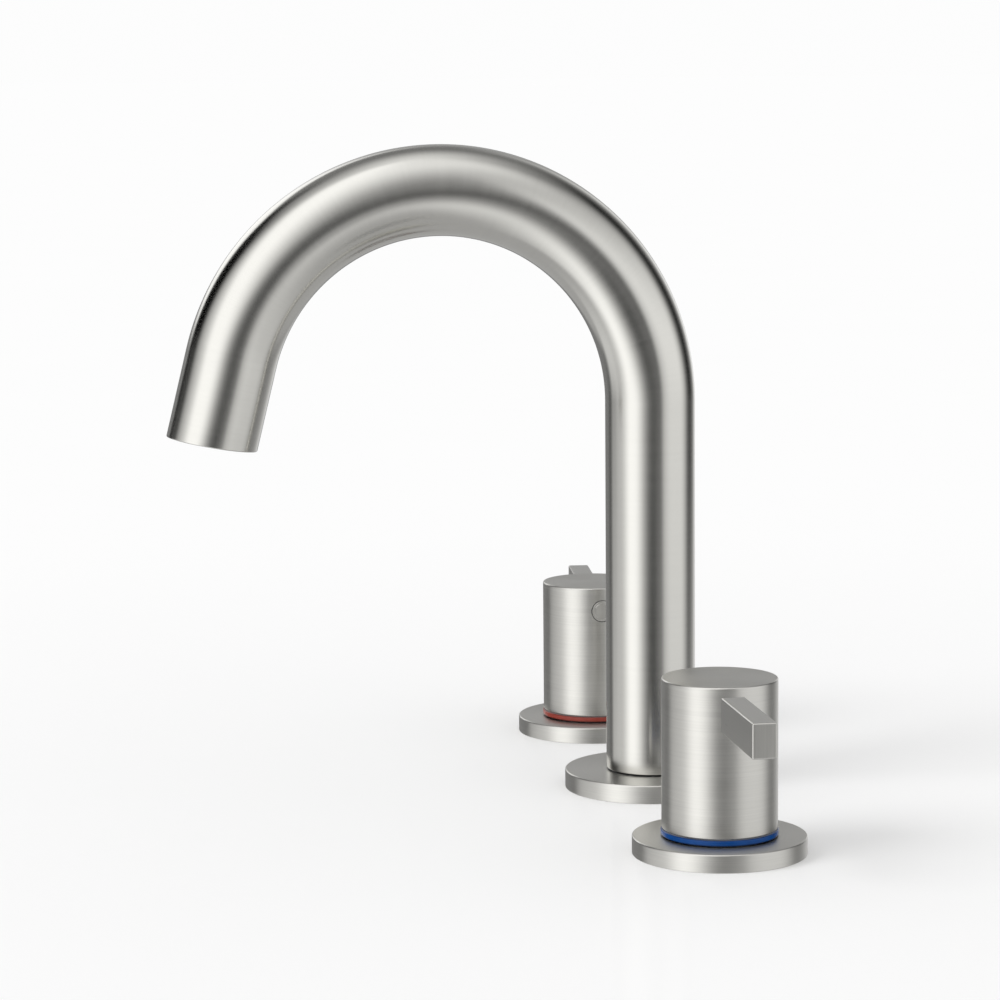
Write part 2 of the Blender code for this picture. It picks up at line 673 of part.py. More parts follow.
def grub_screw(name, side, home):
    """Screw under the plug that holds the hub on the stem."""
    back = side["outward"] + HALF_TURN
    tip = SPLINE_RADIUS + GAP
    head = tip + GRUB_LENGTH
    mesh = rod_mesh(name + "_set_screw", GRUB_RADIUS, around(tip, back, LEVER_LEVEL),
                    around(head, back, LEVER_LEVEL), SMALL_SIDES)
    made = piece(name + "_set_screw", mesh, STEEL, home)
    cut(made, rod_mesh(name + "_key", HEX_RADIUS, around(head - HEX_DEPTH, back, LEVER_LEVEL),
                       around(head + OVERRUN, back, LEVER_LEVEL), HEX_SIDES))
    return made


def hub(name, side, home):
    """Brass core of the knob: a splined socket for the stem, and cross holes for stud and screw."""
    outline = [(0, HUB_TOP), (HUB_RADIUS, HUB_TOP), (HUB_RADIUS, HUB_FOOT), (0, HUB_FOOT)]
    made = turned(name + "_hub", outline, BRASS, home, closed=False)
    cut(made, spline_mesh(name + "_socket", SPLINE_RADIUS + GAP, SPLINE_RADIUS - SPLINE_TOOTH + GAP,
                          HUB_FOOT - OVERRUN, STEM_TOP + GAP))
    out = side["outward"] + side["lag"]
    back = side["outward"] + HALF_TURN
    past = HUB_RADIUS + OVERRUN
    stud_end = around(STUD_DEPTH - GAP, out, LEVER_LEVEL)
    cut(made, rod_mesh(name + "_stud_socket", STUD_RADIUS + GAP, stud_end,
                       around(past, out, LEVER_LEVEL), SMALL_SIDES))
    cut(made, rod_mesh(name + "_screw_hole", GRUB_RADIUS + GAP, (0, 0, LEVER_LEVEL),
                       around(past, back, LEVER_LEVEL), SMALL_SIDES))
    return made


def stem(name, side, home):
    """Shaft from the hub's spline down to the foot that turns the upper disc, with its stop tab."""
    mesh = rod_mesh(name + "_stem", SHAFT_RADIUS, (0, 0, FOOT_TOP - OVERRUN), (0, 0, SHAFT_TOP))
    made = piece(name + "_stem", mesh, BRASS, home)
    join(made, spline_mesh(name + "_spline", SPLINE_RADIUS, SPLINE_RADIUS - SPLINE_TOOTH,
                           SHAFT_TOP - OVERRUN, STEM_TOP))
    half = FOOT_WIDTH / 2
    reach = DISC_RADIUS - GAP
    join(made, box_mesh(name + "_foot", (-reach, -half, FOOT_FOOT), (reach, half, FOOT_TOP)))
    half = TAB_WIDTH / 2
    high = (CARTRIDGE_NECK, half, TAB_TOP)
    join(made, box_mesh(name + "_tab", (0, -half, TAB_FOOT), high, side["outward"]))
    return made


def port_cutters(target, name, low, high, turn):
    """The two ways through a ceramic disc."""
    for number in (0, 1):
        angle = turn + HALF_TURN * number
        cut(target, rod_mesh(name + "_port", PORT_RADIUS, around(PORT_PLACE, angle, low - OVERRUN),
                             around(PORT_PLACE, angle, high + OVERRUN), SMALL_SIDES))


def upper_disc(name, home):
    """Turning disc: shut at rest, its ports meet the lower disc's after a quarter turn."""
    mesh = rod_mesh(name + "_upper_disc", DISC_RADIUS, (0, 0, UPPER_DISC_FOOT), (0, 0, UPPER_DISC_TOP))
    made = piece(name + "_upper_disc", mesh, CERAMIC, home)
    port_cutters(made, name + "_upper_disc", UPPER_DISC_FOOT, UPPER_DISC_TOP, QUARTER_TURN)
    half = FOOT_WIDTH / 2 + SLOT_SPARE
    reach = DISC_RADIUS + OVERRUN
    cut(made, box_mesh(name + "_slot", (-reach, -half, FOOT_FOOT - SLOT_SPARE),
                       (reach, half, UPPER_DISC_TOP + OVERRUN)))
    return made


def lower_disc(name, home):
    high = LOWER_DISC_FOOT + DISC_HEIGHT
    mesh = rod_mesh(name + "_lower_disc", DISC_RADIUS, (0, 0, LOWER_DISC_FOOT), (0, 0, high))
    made = piece(name + "_lower_disc", mesh, CERAMIC, home)
    port_cutters(made, name + "_lower_disc", LOWER_DISC_FOOT, high, 0)
    return made


def cartridge_housing(name, side, home):
    """Fixed sleeve round stem and discs, with two water windows and the quarter-turn stop notch."""
    groove_top = CARTRIDGE_GROOVE + RING_GROOVE_HEIGHT
    shoulder = BODY_NECK - GAP
    outside = CARTRIDGE_RADIUS
    outline = [
        (SHAFT_BORE, NECK_TOP), (CARTRIDGE_NECK, NECK_TOP), (CARTRIDGE_NECK, SHOULDER_TOP),
        (shoulder, SHOULDER_TOP), (shoulder, SHOULDER_FOOT), (outside, SHOULDER_FOOT),
        (outside, groove_top), (CARTRIDGE_GROOVE_RADIUS, groove_top),
        (CARTRIDGE_GROOVE_RADIUS, CARTRIDGE_GROOVE), (outside, CARTRIDGE_GROOVE),
        (outside, CARTRIDGE_FOOT), (CHAMBER_RADIUS, CARTRIDGE_FOOT),
        (CHAMBER_RADIUS, CHAMBER_TOP), (SHAFT_BORE, CHAMBER_TOP),
    ]
    made = turned(name + "_cartridge_housing", outline, BRASS, home)
    half = WINDOW_WIDTH / 2
    past = CARTRIDGE_RADIUS + OVERRUN
    cut(made, box_mesh(name + "_windows", (-past, -half, WINDOW_FOOT), (past, half, WINDOW_TOP)))
    room = math.asin((TAB_WIDTH / 2 + GAP) / SHAFT_BORE)
    middle = side["outward"] + side["opens"] * TURN / 2
    cut(made, sector_mesh(name + "_stop_notch", SHAFT_RADIUS, CARTRIDGE_NECK + OVERRUN, TAB_FOOT - GAP,
                          NECK_TOP + OVERRUN, middle, TURN / 2 + room))
    return made


def cartridge_seals(name, home):
    low = CARTRIDGE_GROOVE + GAP
    high = CARTRIDGE_GROOVE + RING_GROOVE_HEIGHT - GAP
    soft_ring(name + "_cartridge_o_ring", CARTRIDGE_GROOVE_RADIUS + GAP / 2, CARTRIDGE_RADIUS + GAP / 2,
              low, high, RUBBER, home)
    soft_ring(name + "_seat_seal", DISC_RADIUS - SEAL_WIDTH, DISC_RADIUS, CARTRIDGE_FOOT,
              CARTRIDGE_FOOT + SEAL_HEIGHT, RUBBER, home)


def bonnet_nut(name, home):
    """Hexagon cap nut that clamps the cartridge's shoulder to the valve body."""
    low = BODY_TOP - BONNET_GRIP
    high = BONNET_CEILING + BONNET_TOP
    mesh = rod_mesh(name + "_bonnet_nut", BONNET_RADIUS, (0, 0, low), (0, 0, high), HEX_SIDES)
    made = piece(name + "_bonnet_nut", mesh, BRASS, home)
    cut(made, rod_mesh(name + "_bonnet_bore", BONNET_BORE, (0, 0, low - OVERRUN), (0, 0, BONNET_CEILING)))
    cut(made, rod_mesh(name + "_bonnet_hole", CARTRIDGE_NECK + GAP, (0, 0, low), (0, 0, high + OVERRUN)))
    return made


def valve_body(name, side, home):
    """Brass body: barrel through the deck, inlet shank below, outlet nipple towards the spout."""
    outline = [
        (BODY_BORE, BODY_TOP), (BODY_NECK, BODY_TOP), (BODY_NECK, BODY_SHOULDER),
        (BARREL_RADIUS, BODY_SHOULDER), (BARREL_RADIUS, BLOCK_TOP), (BLOCK_RADIUS, BLOCK_TOP),
        (BLOCK_RADIUS, BLOCK_FOOT), (INLET_RADIUS, BLOCK_FOOT), (INLET_RADIUS, INLET_END),
        (INLET_BORE, INLET_END), (INLET_BORE, SEAT_HEIGHT), (BODY_BORE, SEAT_HEIGHT),
        (BODY_BORE, WINDOW_FOOT), (CASTING_ROOM, WINDOW_FOOT), (CASTING_ROOM, WINDOW_TOP),
        (BODY_BORE, WINDOW_TOP),
    ]
    made = turned(name + "_valve_body", outline, BRASS, home)
    back = side["outward"] + HALF_TURN
    wall = (CASTING_ROOM + BLOCK_RADIUS) / 2
    join(made, rod_mesh(name + "_nipple", NIPPLE_RADIUS, around(wall, back, SIDE_OUTLET),
                        around(OUTLET_REACH, back, SIDE_OUTLET)))
    cut(made, rod_mesh(name + "_side_bore", NIPPLE_BORE, (0, 0, SIDE_OUTLET),
                       around(OUTLET_REACH + OVERRUN, back, SIDE_OUTLET), SMALL_SIDES))
    return made


def handle_seat(name, paint, home):
    """The plate, its coloured ring, and the ring nut and gasket that the plate covers."""
    deck_plate(name + "_escutcheon", HANDLE_PLATE_RADIUS, HANDLE_PLATE_HEIGHT, BARREL_HOLE, home)
    ring(name + "_index_ring", BARREL_HOLE, INDEX_RADIUS, INDEX_FOOT, INDEX_TOP, paint, home, SHOWN_SIDES)
    ring(name + "_ring_nut", BARREL_HOLE, RING_NUT_RADIUS, 0, HANDLE_CEILING - GAP, BRASS, home)
    ring(name + "_deck_gasket", RING_NUT_RADIUS + GAP, HANDLE_PLATE_RADIUS - PLATE_SKIN - GAP, 0,
         HANDLE_CEILING - GAP, RUBBER, home)


def handle_fixings(name, home):
    """Washer and lock nut that clamp the valve body to the deck from below."""
    washer_top = -DECK - GAP
    washer_foot = washer_top - WASHER_HEIGHT
    nut_top = washer_foot - GAP
    ring(name + "_washer", BARREL_HOLE, LOCK_WASHER_RADIUS, washer_foot, washer_top, STEEL, home)
    hex_nut(name + "_lock_nut", LOCK_NUT_RADIUS, BARREL_HOLE, nut_top - NUT_HEIGHT, nut_top, BRASS, home)


def link_path(side, extra):
    """From the valve's nipple to the tee's arm: straight at both ends, easing down between."""
    reach = HALF_CENTRES - OUTLET_REACH - GAP
    near = TEE_REACH + GAP
    toward = math.copysign(1, side["place"])
    path = [Vector((toward * (reach + extra), 0, SIDE_OUTLET))]
    for step in range(LINK_STEPS + 1):
        share = step / LINK_STEPS
        ease = (1 - math.cos(HALF_TURN * share)) / 2
        along = reach - LINK_STRAIGHT - share * (reach - near - 2 * LINK_STRAIGHT)
        path.append(Vector((toward * along, 0, SIDE_OUTLET + ease * (CROSS_HEIGHT - SIDE_OUTLET))))
    path.append(Vector((toward * (near - extra), 0, CROSS_HEIGHT)))
    return path


def union_nut(name, end, inward, home):
    """Hexagon nut over a nipple's end at the point end; inward points back along the nipple."""
    back = end + inward * UNION_GRIP
    seat = end - inward * UNION_ROOM
    front = seat - inward * UNION_FLOOR
    made = piece(name, rod_mesh(name, UNION_RADIUS, back, front, HEX_SIDES), BRASS, home)
    cut(made, rod_mesh(name + "_thread", NIPPLE_RADIUS + GAP, back + inward * OVERRUN, seat))
    cut(made, rod_mesh(name + "_hole", LINK_RADIUS + GAP, end, front - inward * OVERRUN, LINK_SIDES))
    return made


def link(name, side, home):
    """Rigid tube that carries one supply to the tee, and its two union nuts."""
    toward = Vector((math.copysign(1, side["place"]), 0, 0))
    mesh = swept_mesh(name + "_link_tube", LINK_RADIUS, link_path(side, 0), LINK_SIDES)
    made = piece(name + "_link_tube", mesh, COPPER, home)
    cut(made, swept_mesh(name + "_link_bore", LINK_BORE, link_path(side, OVERRUN), LINK_SIDES))
    valve_end = toward * (HALF_CENTRES - OUTLET_REACH) + Vector((0, 0, SIDE_OUTLET))
    tee_end = toward * TEE_REACH + Vector((0, 0, CROSS_HEIGHT))
    union_nut(name + "_valve_union", valve_end, toward, home)
    union_nut(name + "_tee_union", tee_end, -toward, home)


def build_spout():
    fixed = empty("spout_base", (0, 0, 0))
    swivel = empty("spout_swivel_axis", (0, 0, 0))
    outlet = empty("spout_outlet", OUTLET, OUTLET_ANGLE)
    outlet.parent = swivel
    spout_tube(swivel)
    spout_sleeve(swivel)
    spout_set_screw(swivel)
    aerator(outlet)
    spout_shank(fixed)
    spout_seals(fixed)
    spout_seat(fixed)
    spout_fixings(fixed)
    spout_tee(fixed)
    link("hot", SIDES["hot"], fixed)
    link("cold", SIDES["cold"], fixed)


def build_handle(name, paint):
    side = SIDES[name]
    fixed = empty(name + "_valve_axis", (side["place"], 0, 0))
    turning = empty(name + "_handle_axis", (side["place"], 0, 0))
    knob(name, side, turning)
    lever(name, side, turning)
    plug(name, side, turning)
    grub_screw(name, side, turning)
    hub(name, side, turning)
    stem(name, side, turning)
    upper_disc(name, turning)
    lower_disc(name, fixed)
    cartridge_housing(name, side, fixed)
    cartridge_seals(name, fixed)
    bonnet_nut(name, fixed)
    valve_body(name, side, fixed)
    handle_seat(name, paint, fixed)
    handle_fixings(name, fixed)


build_spout()
build_handle("hot", RED)
build_handle("cold", BLUE)
bpy.context.view_layer.update()
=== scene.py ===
# %% [markdown]
# Widespread bathroom faucet: a high arched spout between a hot and a cold handle, in brushed nickel.
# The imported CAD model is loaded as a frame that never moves. Every piece made here sits where its CAD
# node sits, rides on the same body and takes over its looks, so the joints keep working.

# %% Load the frame
import math

import bpy
from mathutils import Matrix, Vector


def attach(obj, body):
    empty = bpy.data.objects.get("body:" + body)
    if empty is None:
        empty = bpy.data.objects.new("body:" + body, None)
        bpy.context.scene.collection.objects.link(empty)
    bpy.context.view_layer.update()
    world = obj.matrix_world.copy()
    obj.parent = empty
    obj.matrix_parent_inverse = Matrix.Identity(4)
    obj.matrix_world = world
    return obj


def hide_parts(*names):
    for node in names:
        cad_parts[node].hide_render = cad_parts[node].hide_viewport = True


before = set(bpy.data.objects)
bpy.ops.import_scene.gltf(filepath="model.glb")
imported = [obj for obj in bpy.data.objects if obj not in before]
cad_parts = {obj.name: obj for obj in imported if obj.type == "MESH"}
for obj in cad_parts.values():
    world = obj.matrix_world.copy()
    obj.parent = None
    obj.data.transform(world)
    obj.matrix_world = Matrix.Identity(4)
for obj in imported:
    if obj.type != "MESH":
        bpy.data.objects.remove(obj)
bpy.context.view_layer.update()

# %% [markdown]
# A designer writes each size once. These are the sizes of the CAD model, in millimetres turned to
# metres, so that a fine piece lands exactly on its plain CAD node.

# %% Sizes of the faucet
MM = 0.001
UP = Vector((0, 0, 1))
SIDEWAYS = Vector((1, 0, 0))
POLE = 0.02 * MM

TUBE_RADIUS = 15.75 * MM
TUBE_WALL = 2.0 * MM
TUBE_FOOT = 7.0 * MM
BEND_RADIUS = 74.5 * MM
BEND_HEIGHT = 138.0 * MM
BEND_SWEEP = math.radians(166.0)
TAIL_LENGTH = 30.0 * MM
OUTLET_TILT = math.radians(3.2)
BEND_CENTRE = Vector((0, -BEND_RADIUS, BEND_HEIGHT))
TAIL_RUN = Vector((0, -math.sin(BEND_SWEEP), math.cos(BEND_SWEEP)))
BEND_END = BEND_CENTRE + Vector((0, math.cos(BEND_SWEEP), math.sin(BEND_SWEEP))) * BEND_RADIUS
OUTLET = BEND_END + TAIL_RUN * TAIL_LENGTH

SPOUT_PLATE_RADIUS = 30.5 * MM
SPOUT_PLATE_HEIGHT = 6.5 * MM
HANDLE_PLATE_RADIUS = 28.6 * MM
HANDLE_PLATE_HEIGHT = 6.0 * MM
PLATE_SKIN = 2.0 * MM
SPOUT_PLATE_HOLE = 15.45 * MM
BARREL_HOLE = 14.2 * MM

KNOB_RADIUS = 18.95 * MM
KNOB_BORE = 16.35 * MM
KNOB_FOOT = 8.6 * MM
KNOB_TOP = 58.0 * MM
KNOB_CEILING = 55.4 * MM
LEVER_TOP = 54.9 * MM
LEVER_DEPTH = 11.4 * MM
LEVER_WIDTH = 7.9 * MM
LEVER_REACH = 60.2 * MM
LEVER_LEVEL = LEVER_TOP - LEVER_DEPTH / 2
HANDLES = {
    # out is where the lever points, back is the side that faces the spout
    "hot": {"x": -101.6 * MM, "out": math.pi + math.radians(-6.3), "back": math.tau},
    "cold": {"x": 101.6 * MM, "out": math.radians(-0.7), "back": math.pi},
}

# %% [markdown]
# The photograph was taken from the cold handle's side, a little above it. Its camera was worked out
# from the round plates and knobs, so the render can be laid over the photograph. The lens is a long
# one, 116 mm on a 36 mm sensor, which keeps the tall spout from leaning.

# %% Camera
CAMERA_PLACE = Vector((1.10087, -0.24828, 0.25363))
CAMERA_TURN = 0.1749
CAMERA_PITCH = -0.1328
CAMERA_ROLL = -0.0085

lens = bpy.data.cameras.new("camera")
lens.lens = 116.16
lens.sensor_width = 36.0
lens.clip_start = 0.01
lens.clip_end = 300.0
camera = bpy.data.objects.new("camera", lens)
bpy.context.scene.collection.objects.link(camera)
camera.matrix_world = (Matrix.Translation(CAMERA_PLACE)
                       @ Matrix.Rotation(math.pi / 2 - CAMERA_TURN, 4, "Z")
                       @ Matrix.Rotation(math.pi / 2 + CAMERA_PITCH, 4, "X")
                       @ Matrix.Rotation(CAMERA_ROLL, 4, "Z"))
bpy.context.scene.camera = camera
bpy.context.scene.view_settings.view_transform = "Standard"
print("camera stands", round(CAMERA_PLACE.length, 3), "m from the spout")

# %% [markdown]
# Materials are node trees. A few short helpers keep them readable. One adds a node and sets or joins
# its sockets, one makes a colour ramp from a list of stops, and the others stand for the steps that
# come back in every finish: a noise, a stretch, a bump.

# %% Node helpers
def new_finish(name):
    """A material and its tree, empty but for an output."""
    finish = bpy.data.materials.new(name)
    finish.use_nodes = True
    finish.node_tree.nodes.clear()
    finish.node_tree.nodes.new("ShaderNodeOutputMaterial")
    return finish, finish.node_tree


def add(tree, kind, settings=None, **sockets):
    """One node. Sockets go by name, with _ for a space, or by number, as i0, i1 and so on.

    Each is given a value or another node's socket.
    """
    made = tree.nodes.new("ShaderNode" + kind)
    for key, value in (settings or {}).items():
        setattr(made, key, value)
    for key, value in sockets.items():
        name = key.replace("_", " ")
        socket = made.inputs[int(key[1:])] if key[0] == "i" and key[1:].isdigit() else made.inputs[name]
        if isinstance(value, bpy.types.NodeSocket):
            tree.links.new(value, socket)
        else:
            socket.default_value = value
    return made


def do(tree, operation, first, second=0.0, clamp=False):
    """One step of arithmetic."""
    return add(tree, "Math", {"operation": operation, "use_clamp": clamp}, i0=first, i1=second).outputs[0]


def ramp(tree, value, stops):
    """Reads value against stops of (place, grey or colour)."""
    made = add(tree, "ValToRGB", i0=value)
    band = made.color_ramp
    for number, (place, tone) in enumerate(stops):
        colour = (tone, tone, tone, 1) if isinstance(tone, (int, float)) else (*tone, 1)
        if number < 2:
            stop = band.elements[number]
            stop.position = place
        else:
            stop = band.elements.new(place)
        stop.color = colour
    return made.outputs["Color"]


def show(tree, shader):
    """Sends a shader to the output."""
    out = next(node for node in tree.nodes if node.bl_idname.startswith("ShaderNodeOutput"))
    tree.links.new(shader, out.inputs["Surface"])


def surface(tree, **sockets):
    """A principled surface, sent to the output."""
    show(tree, add(tree, "BsdfPrincipled", **sockets).outputs["BSDF"])


def span(tree, value, low, high, start=0.0, end=1.0, curve="LINEAR"):
    """Turns a value between start and end into one between low and high."""
    return add(tree, "MapRange", {"interpolation_type": curve}, Value=value, From_Min=start, From_Max=end,
               To_Min=low, To_Max=high).outputs["Result"]


def noise(tree, where, scale, detail, rough=0.5):
    """A cloudy pattern between 0 and 1."""
    return add(tree, "TexNoise", Vector=where, Scale=scale, Detail=detail, Roughness=rough).outputs["Fac"]


def stretched(tree, where, scale):
    return add(tree, "Mapping", Vector=where, Scale=scale).outputs["Vector"]


def raised(tree, height, depth, strength=1.0):
    """A bump that is depth metres high."""
    return add(tree, "Bump", Strength=strength, Distance=depth, Height=height).outputs["Normal"]


def own_place(tree):
    """The point's place on the piece."""
    return add(tree, "TexCoord").outputs["Object"]


def named(tree, attribute):
    return add(tree, "Attribute", {"attribute_name": attribute}).outputs["Vector"]


# %% [markdown]
# Bare metal has almost no colour of its own: what the eye reads as metal is the room mirrored in it.
# The photograph's tube shows that room clearly. A tall soft box stands to the left and a pale wall to
# the right. Dark flags stand behind, at both sides, and the camera is a dark gap in the middle. Here
# that room is a dome which only mirror rays can see. It is painted card by card, each a soft-edged
# window in direction: degrees left or right of the camera, and degrees above or below the horizon.

# %% Studio dome for the reflections
DOME_RADIUS = 30.0
CAMERA_BEARING = math.atan2(CAMERA_PLACE.y, CAMERA_PLACE.x)
ROOM_TONE = 0.24
ROOM_CARDS = [
    # name, tone, then (place, softness) of the left, right, lower and upper edge
    ("floor", 0.50, None, None, None, (-22, 4)),
    ("floor in front", 1.10, (-30, 19), (28, 6), (-50, 30), (-10, 7)),
    ("right wall", 1.14, (31, 6), (101, 17), (-21, 30), (31, 30)),
    ("left wall", 0.96, (-116, 7), (-74, 24), (-37, 30), (48, 30)),
    ("ceiling", 1.05, None, None, (71, 20), None),
    ("ceiling in front", 1.12, (-79, 30), (81, 30), (44, 30), None),
    ("soft box", 1.49, (-69, 17), (-6, 30), (-59, 30), (87, 10)),
    ("backdrop left", 1.40, (-172, 5), (-129, 5), (7, 4), (35, 4)),
    ("backdrop right", 1.50, (136, 28), (170, 8), (-11, 16), (30, 24)),
    ("behind, left half", 0.42, None, (-164, 8), (1, 4), (34, 10)),
    ("behind, right half", 0.42, (164, 8), None, (1, 4), (34, 10)),
    ("left flag", 0.0, (-131, 6), (-89, 16), (-6, 20), (51, 12)),
    ("right flag", 0.02, (112, 12), (149, 28), (-9, 4), (48, 8)),
]
GAP_PLACE = (3.0, -14.0)
GAP_TILT = math.radians(20.0)
GAP_REACH = (29.0, 16.5)
GAP_SOFTNESS = 0.95
GAP_TONE = 0.05


def start_fresh():
    """Leaves edit mode and selects nothing, so that an operator acts on the new shape alone."""
    if bpy.context.object and bpy.context.object.mode != "OBJECT":
        bpy.ops.object.mode_set(mode="OBJECT")
    bpy.ops.object.select_all(action="DESELECT")


def fresh(name, primitive, **settings):
    """A new primitive, named and selected alone."""
    start_fresh()
    primitive(**settings)
    shape = bpy.context.object
    shape.name = shape.data.name = name
    return shape


def soft_step(tree, value, place, softness, rising=True):
    """0 before the place and 1 after it, or the other way round, with a soft edge."""
    low, high = (0.0, 1.0) if rising else (1.0, 0.0)
    return span(tree, value, low, high, place - softness, place + softness, "SMOOTHSTEP")


def dome_finish():
    finish, tree = new_finish("studio_dome")
    way = add(tree, "VectorMath", {"operation": "NORMALIZE"}, i0=own_place(tree)).outputs["Vector"]
    parts = add(tree, "SeparateXYZ", Vector=way)
    bearing = do(tree, "ARCTAN2", parts.outputs["Y"], parts.outputs["X"])
    turned_by = do(tree, "SUBTRACT", bearing, CAMERA_BEARING)
    wrapped = do(tree, "WRAP", turned_by, math.pi)
    wrapped.node.inputs[2].default_value = -math.pi
    across = do(tree, "DEGREES", wrapped)
    lift = do(tree, "DEGREES", do(tree, "ARCSINE", parts.outputs["Z"]))
    tone = ROOM_TONE
    for _, card_tone, left, right, low, high in ROOM_CARDS:
        mask = 1.0
        for value, edge, rising in ((across, left, True), (across, right, False),
                                    (lift, low, True), (lift, high, False)):
            if edge:
                mask = do(tree, "MULTIPLY", mask, soft_step(tree, value, *edge, rising))
        tone = span(tree, mask, tone, card_tone)
    level = do(tree, "SUBTRACT", across, GAP_PLACE[0])
    height = do(tree, "SUBTRACT", lift, GAP_PLACE[1])
    turn, lean = math.cos(GAP_TILT), math.sin(GAP_TILT)
    along = do(tree, "ADD", do(tree, "MULTIPLY", level, turn / GAP_REACH[0]),
               do(tree, "MULTIPLY", height, lean / GAP_REACH[0]))
    aside = do(tree, "ADD", do(tree, "MULTIPLY", level, -lean / GAP_REACH[1]),
               do(tree, "MULTIPLY", height, turn / GAP_REACH[1]))
    squares = do(tree, "ADD", do(tree, "MULTIPLY", along, along), do(tree, "MULTIPLY", aside, aside))
    mask = soft_step(tree, do(tree, "SQRT", squares), 1.0, GAP_SOFTNESS, False)
    tone = span(tree, mask, tone, GAP_TONE)
    show(tree, add(tree, "Emission", Color=(1, 1, 1, 1), Strength=tone).outputs["Emission"])
    finish.cycles.emission_sampling = "NONE"
    return finish


dome = fresh("studio_dome", bpy.ops.mesh.primitive_uv_sphere_add, segments=64, ring_count=32,
             radius=DOME_RADIUS)
dome.data.materials.append(dome_finish())
bpy.ops.object.shade_smooth()
for kind in ("camera", "diffuse", "shadow", "transmission", "volume_scatter"):
    setattr(dome, "visible_" + kind, False)
print("room cards:", len(ROOM_CARDS))

# %% [markdown]
# The floor is a plain white sheet with a trace of gloss. The key lamp stands to the left, a little
# towards the camera, and is wide, so the shadows fall to the right and fade. The world fills them.
# Together the two light a white sheet to just under white, so a colour renders about as written.

# %% Floor, lamps and world
FLOOR_REACH = 160.0
KEY_BEARING = math.radians(-76.0)
KEY_HEIGHT = math.radians(36.0)
KEY_SPREAD = math.radians(34.0)
KEY_SHARE = 0.18
FILL_SHARE = 0.815
FLOOR_GLOSS = 0.035
GLOSS_FADES = (0.2, 0.7)
BACKDROP_TONE = 0.98


def floor_finish():
    finish, tree = new_finish("white_floor")
    spot = own_place(tree)
    tone = ramp(tree, noise(tree, spot, 6.0, 2.0), [(0.0, 0.984), (1.0, 0.990)])
    sheet = add(tree, "BsdfDiffuse", Color=tone).outputs["BSDF"]
    gloss = add(tree, "BsdfAnisotropic", Color=(1, 1, 1, 1), Roughness=0.12).outputs["BSDF"]
    reach = add(tree, "VectorMath", {"operation": "LENGTH"}, i0=spot).outputs["Value"]
    share = span(tree, reach, FLOOR_GLOSS, 0.0, *GLOSS_FADES, "SMOOTHSTEP")
    topside = add(tree, "MixShader", Fac=share, i1=sheet, i2=gloss).outputs["Shader"]
    below = add(tree, "NewGeometry").outputs["Backfacing"]
    clear = add(tree, "BsdfTransparent").outputs["BSDF"]
    show(tree, add(tree, "MixShader", Fac=below, i1=topside, i2=clear).outputs["Shader"])
    return finish


floor = fresh("floor", bpy.ops.mesh.primitive_plane_add, size=FLOOR_REACH)
floor.data.materials.append(floor_finish())
floor.visible_glossy = False

key_lamp = bpy.data.lights.new("key_lamp", "SUN")
key_lamp.energy = KEY_SHARE * math.pi / math.sin(KEY_HEIGHT)
key_lamp.angle = KEY_SPREAD
key = bpy.data.objects.new("key_lamp", key_lamp)
bpy.context.scene.collection.objects.link(key)
toward_key = Vector((math.cos(KEY_BEARING) * math.cos(KEY_HEIGHT),
                     math.sin(KEY_BEARING) * math.cos(KEY_HEIGHT), math.sin(KEY_HEIGHT)))
key.rotation_euler = toward_key.to_track_quat("Z", "Y").to_euler()
key.location = toward_key * 3
key.visible_glossy = False

world = bpy.data.worlds.new("studio")
bpy.context.scene.world = world
world.use_nodes = True
sky = world.node_tree
sky.nodes.clear()
sky.nodes.new("ShaderNodeOutputWorld")
ray = add(sky, "LightPath")
seen = do(sky, "ADD", ray.outputs["Is Camera Ray"], ray.outputs["Is Glossy Ray"], clamp=True)
seen = do(sky, "ADD", seen, ray.outputs["Is Transmission Ray"], clamp=True)
strength = span(sky, seen, FILL_SHARE, BACKDROP_TONE)
show(sky, add(sky, "Background", Color=(1, 1, 1, 1), Strength=strength).outputs["Background"])
print("key lamp:", round(key_lamp.energy, 2), "fill:", FILL_SHARE)

# %% [markdown]
# Brushed nickel is polished and then drawn past a fine abrasive belt, which leaves hairlines round the
# piece. Light scatters across the hairlines and hardly along them, so the finish is anisotropic. Each
# piece carries two attributes for this. "lay" says where a point is round, across and along the piece,
# and stretches a noise into hairlines; "grain" is the direction that the highlight spreads in.

# %% Brushed metal
HAIR_CELLS = 32
BROAD_CELLS = 60
BROAD_STEP = 14
FINE_SHARE = 0.72


def brushed(name, colour, tone_spread, rough, hairline, depth, spread):
    """rough is (smooth, dull), hairline is lines a metre, depth the bump in metres, spread the anisotropy."""
    finish, tree = new_finish(name)
    lay = named(tree, "lay")
    fine = noise(tree, stretched(tree, lay, (HAIR_CELLS, HAIR_CELLS, hairline)), 1.0, 3.0, 0.65)
    broad = noise(tree, stretched(tree, lay, (BROAD_CELLS, BROAD_CELLS, hairline / BROAD_STEP)), 1.0, 2.0)
    both = do(tree, "ADD", do(tree, "MULTIPLY", fine, FINE_SHARE),
              do(tree, "MULTIPLY", broad, 1 - FINE_SHARE))
    low, high = (tuple(part * (1 + by) for part in colour) for by in (-tone_spread, tone_spread))
    tone = ramp(tree, both, [(0.3, low), (0.7, high)])
    dull = span(tree, both, *rough, 0.3, 0.7)
    way = add(tree, "VectorTransform", {"vector_type": "VECTOR", "convert_from": "OBJECT",
                                        "convert_to": "WORLD"}, Vector=named(tree, "grain")).outputs["Vector"]
    surface(tree, Base_Color=tone, Metallic=1.0, Roughness=dull, Anisotropic=spread,
            Normal=raised(tree, both, depth), Tangent=way)
    return finish


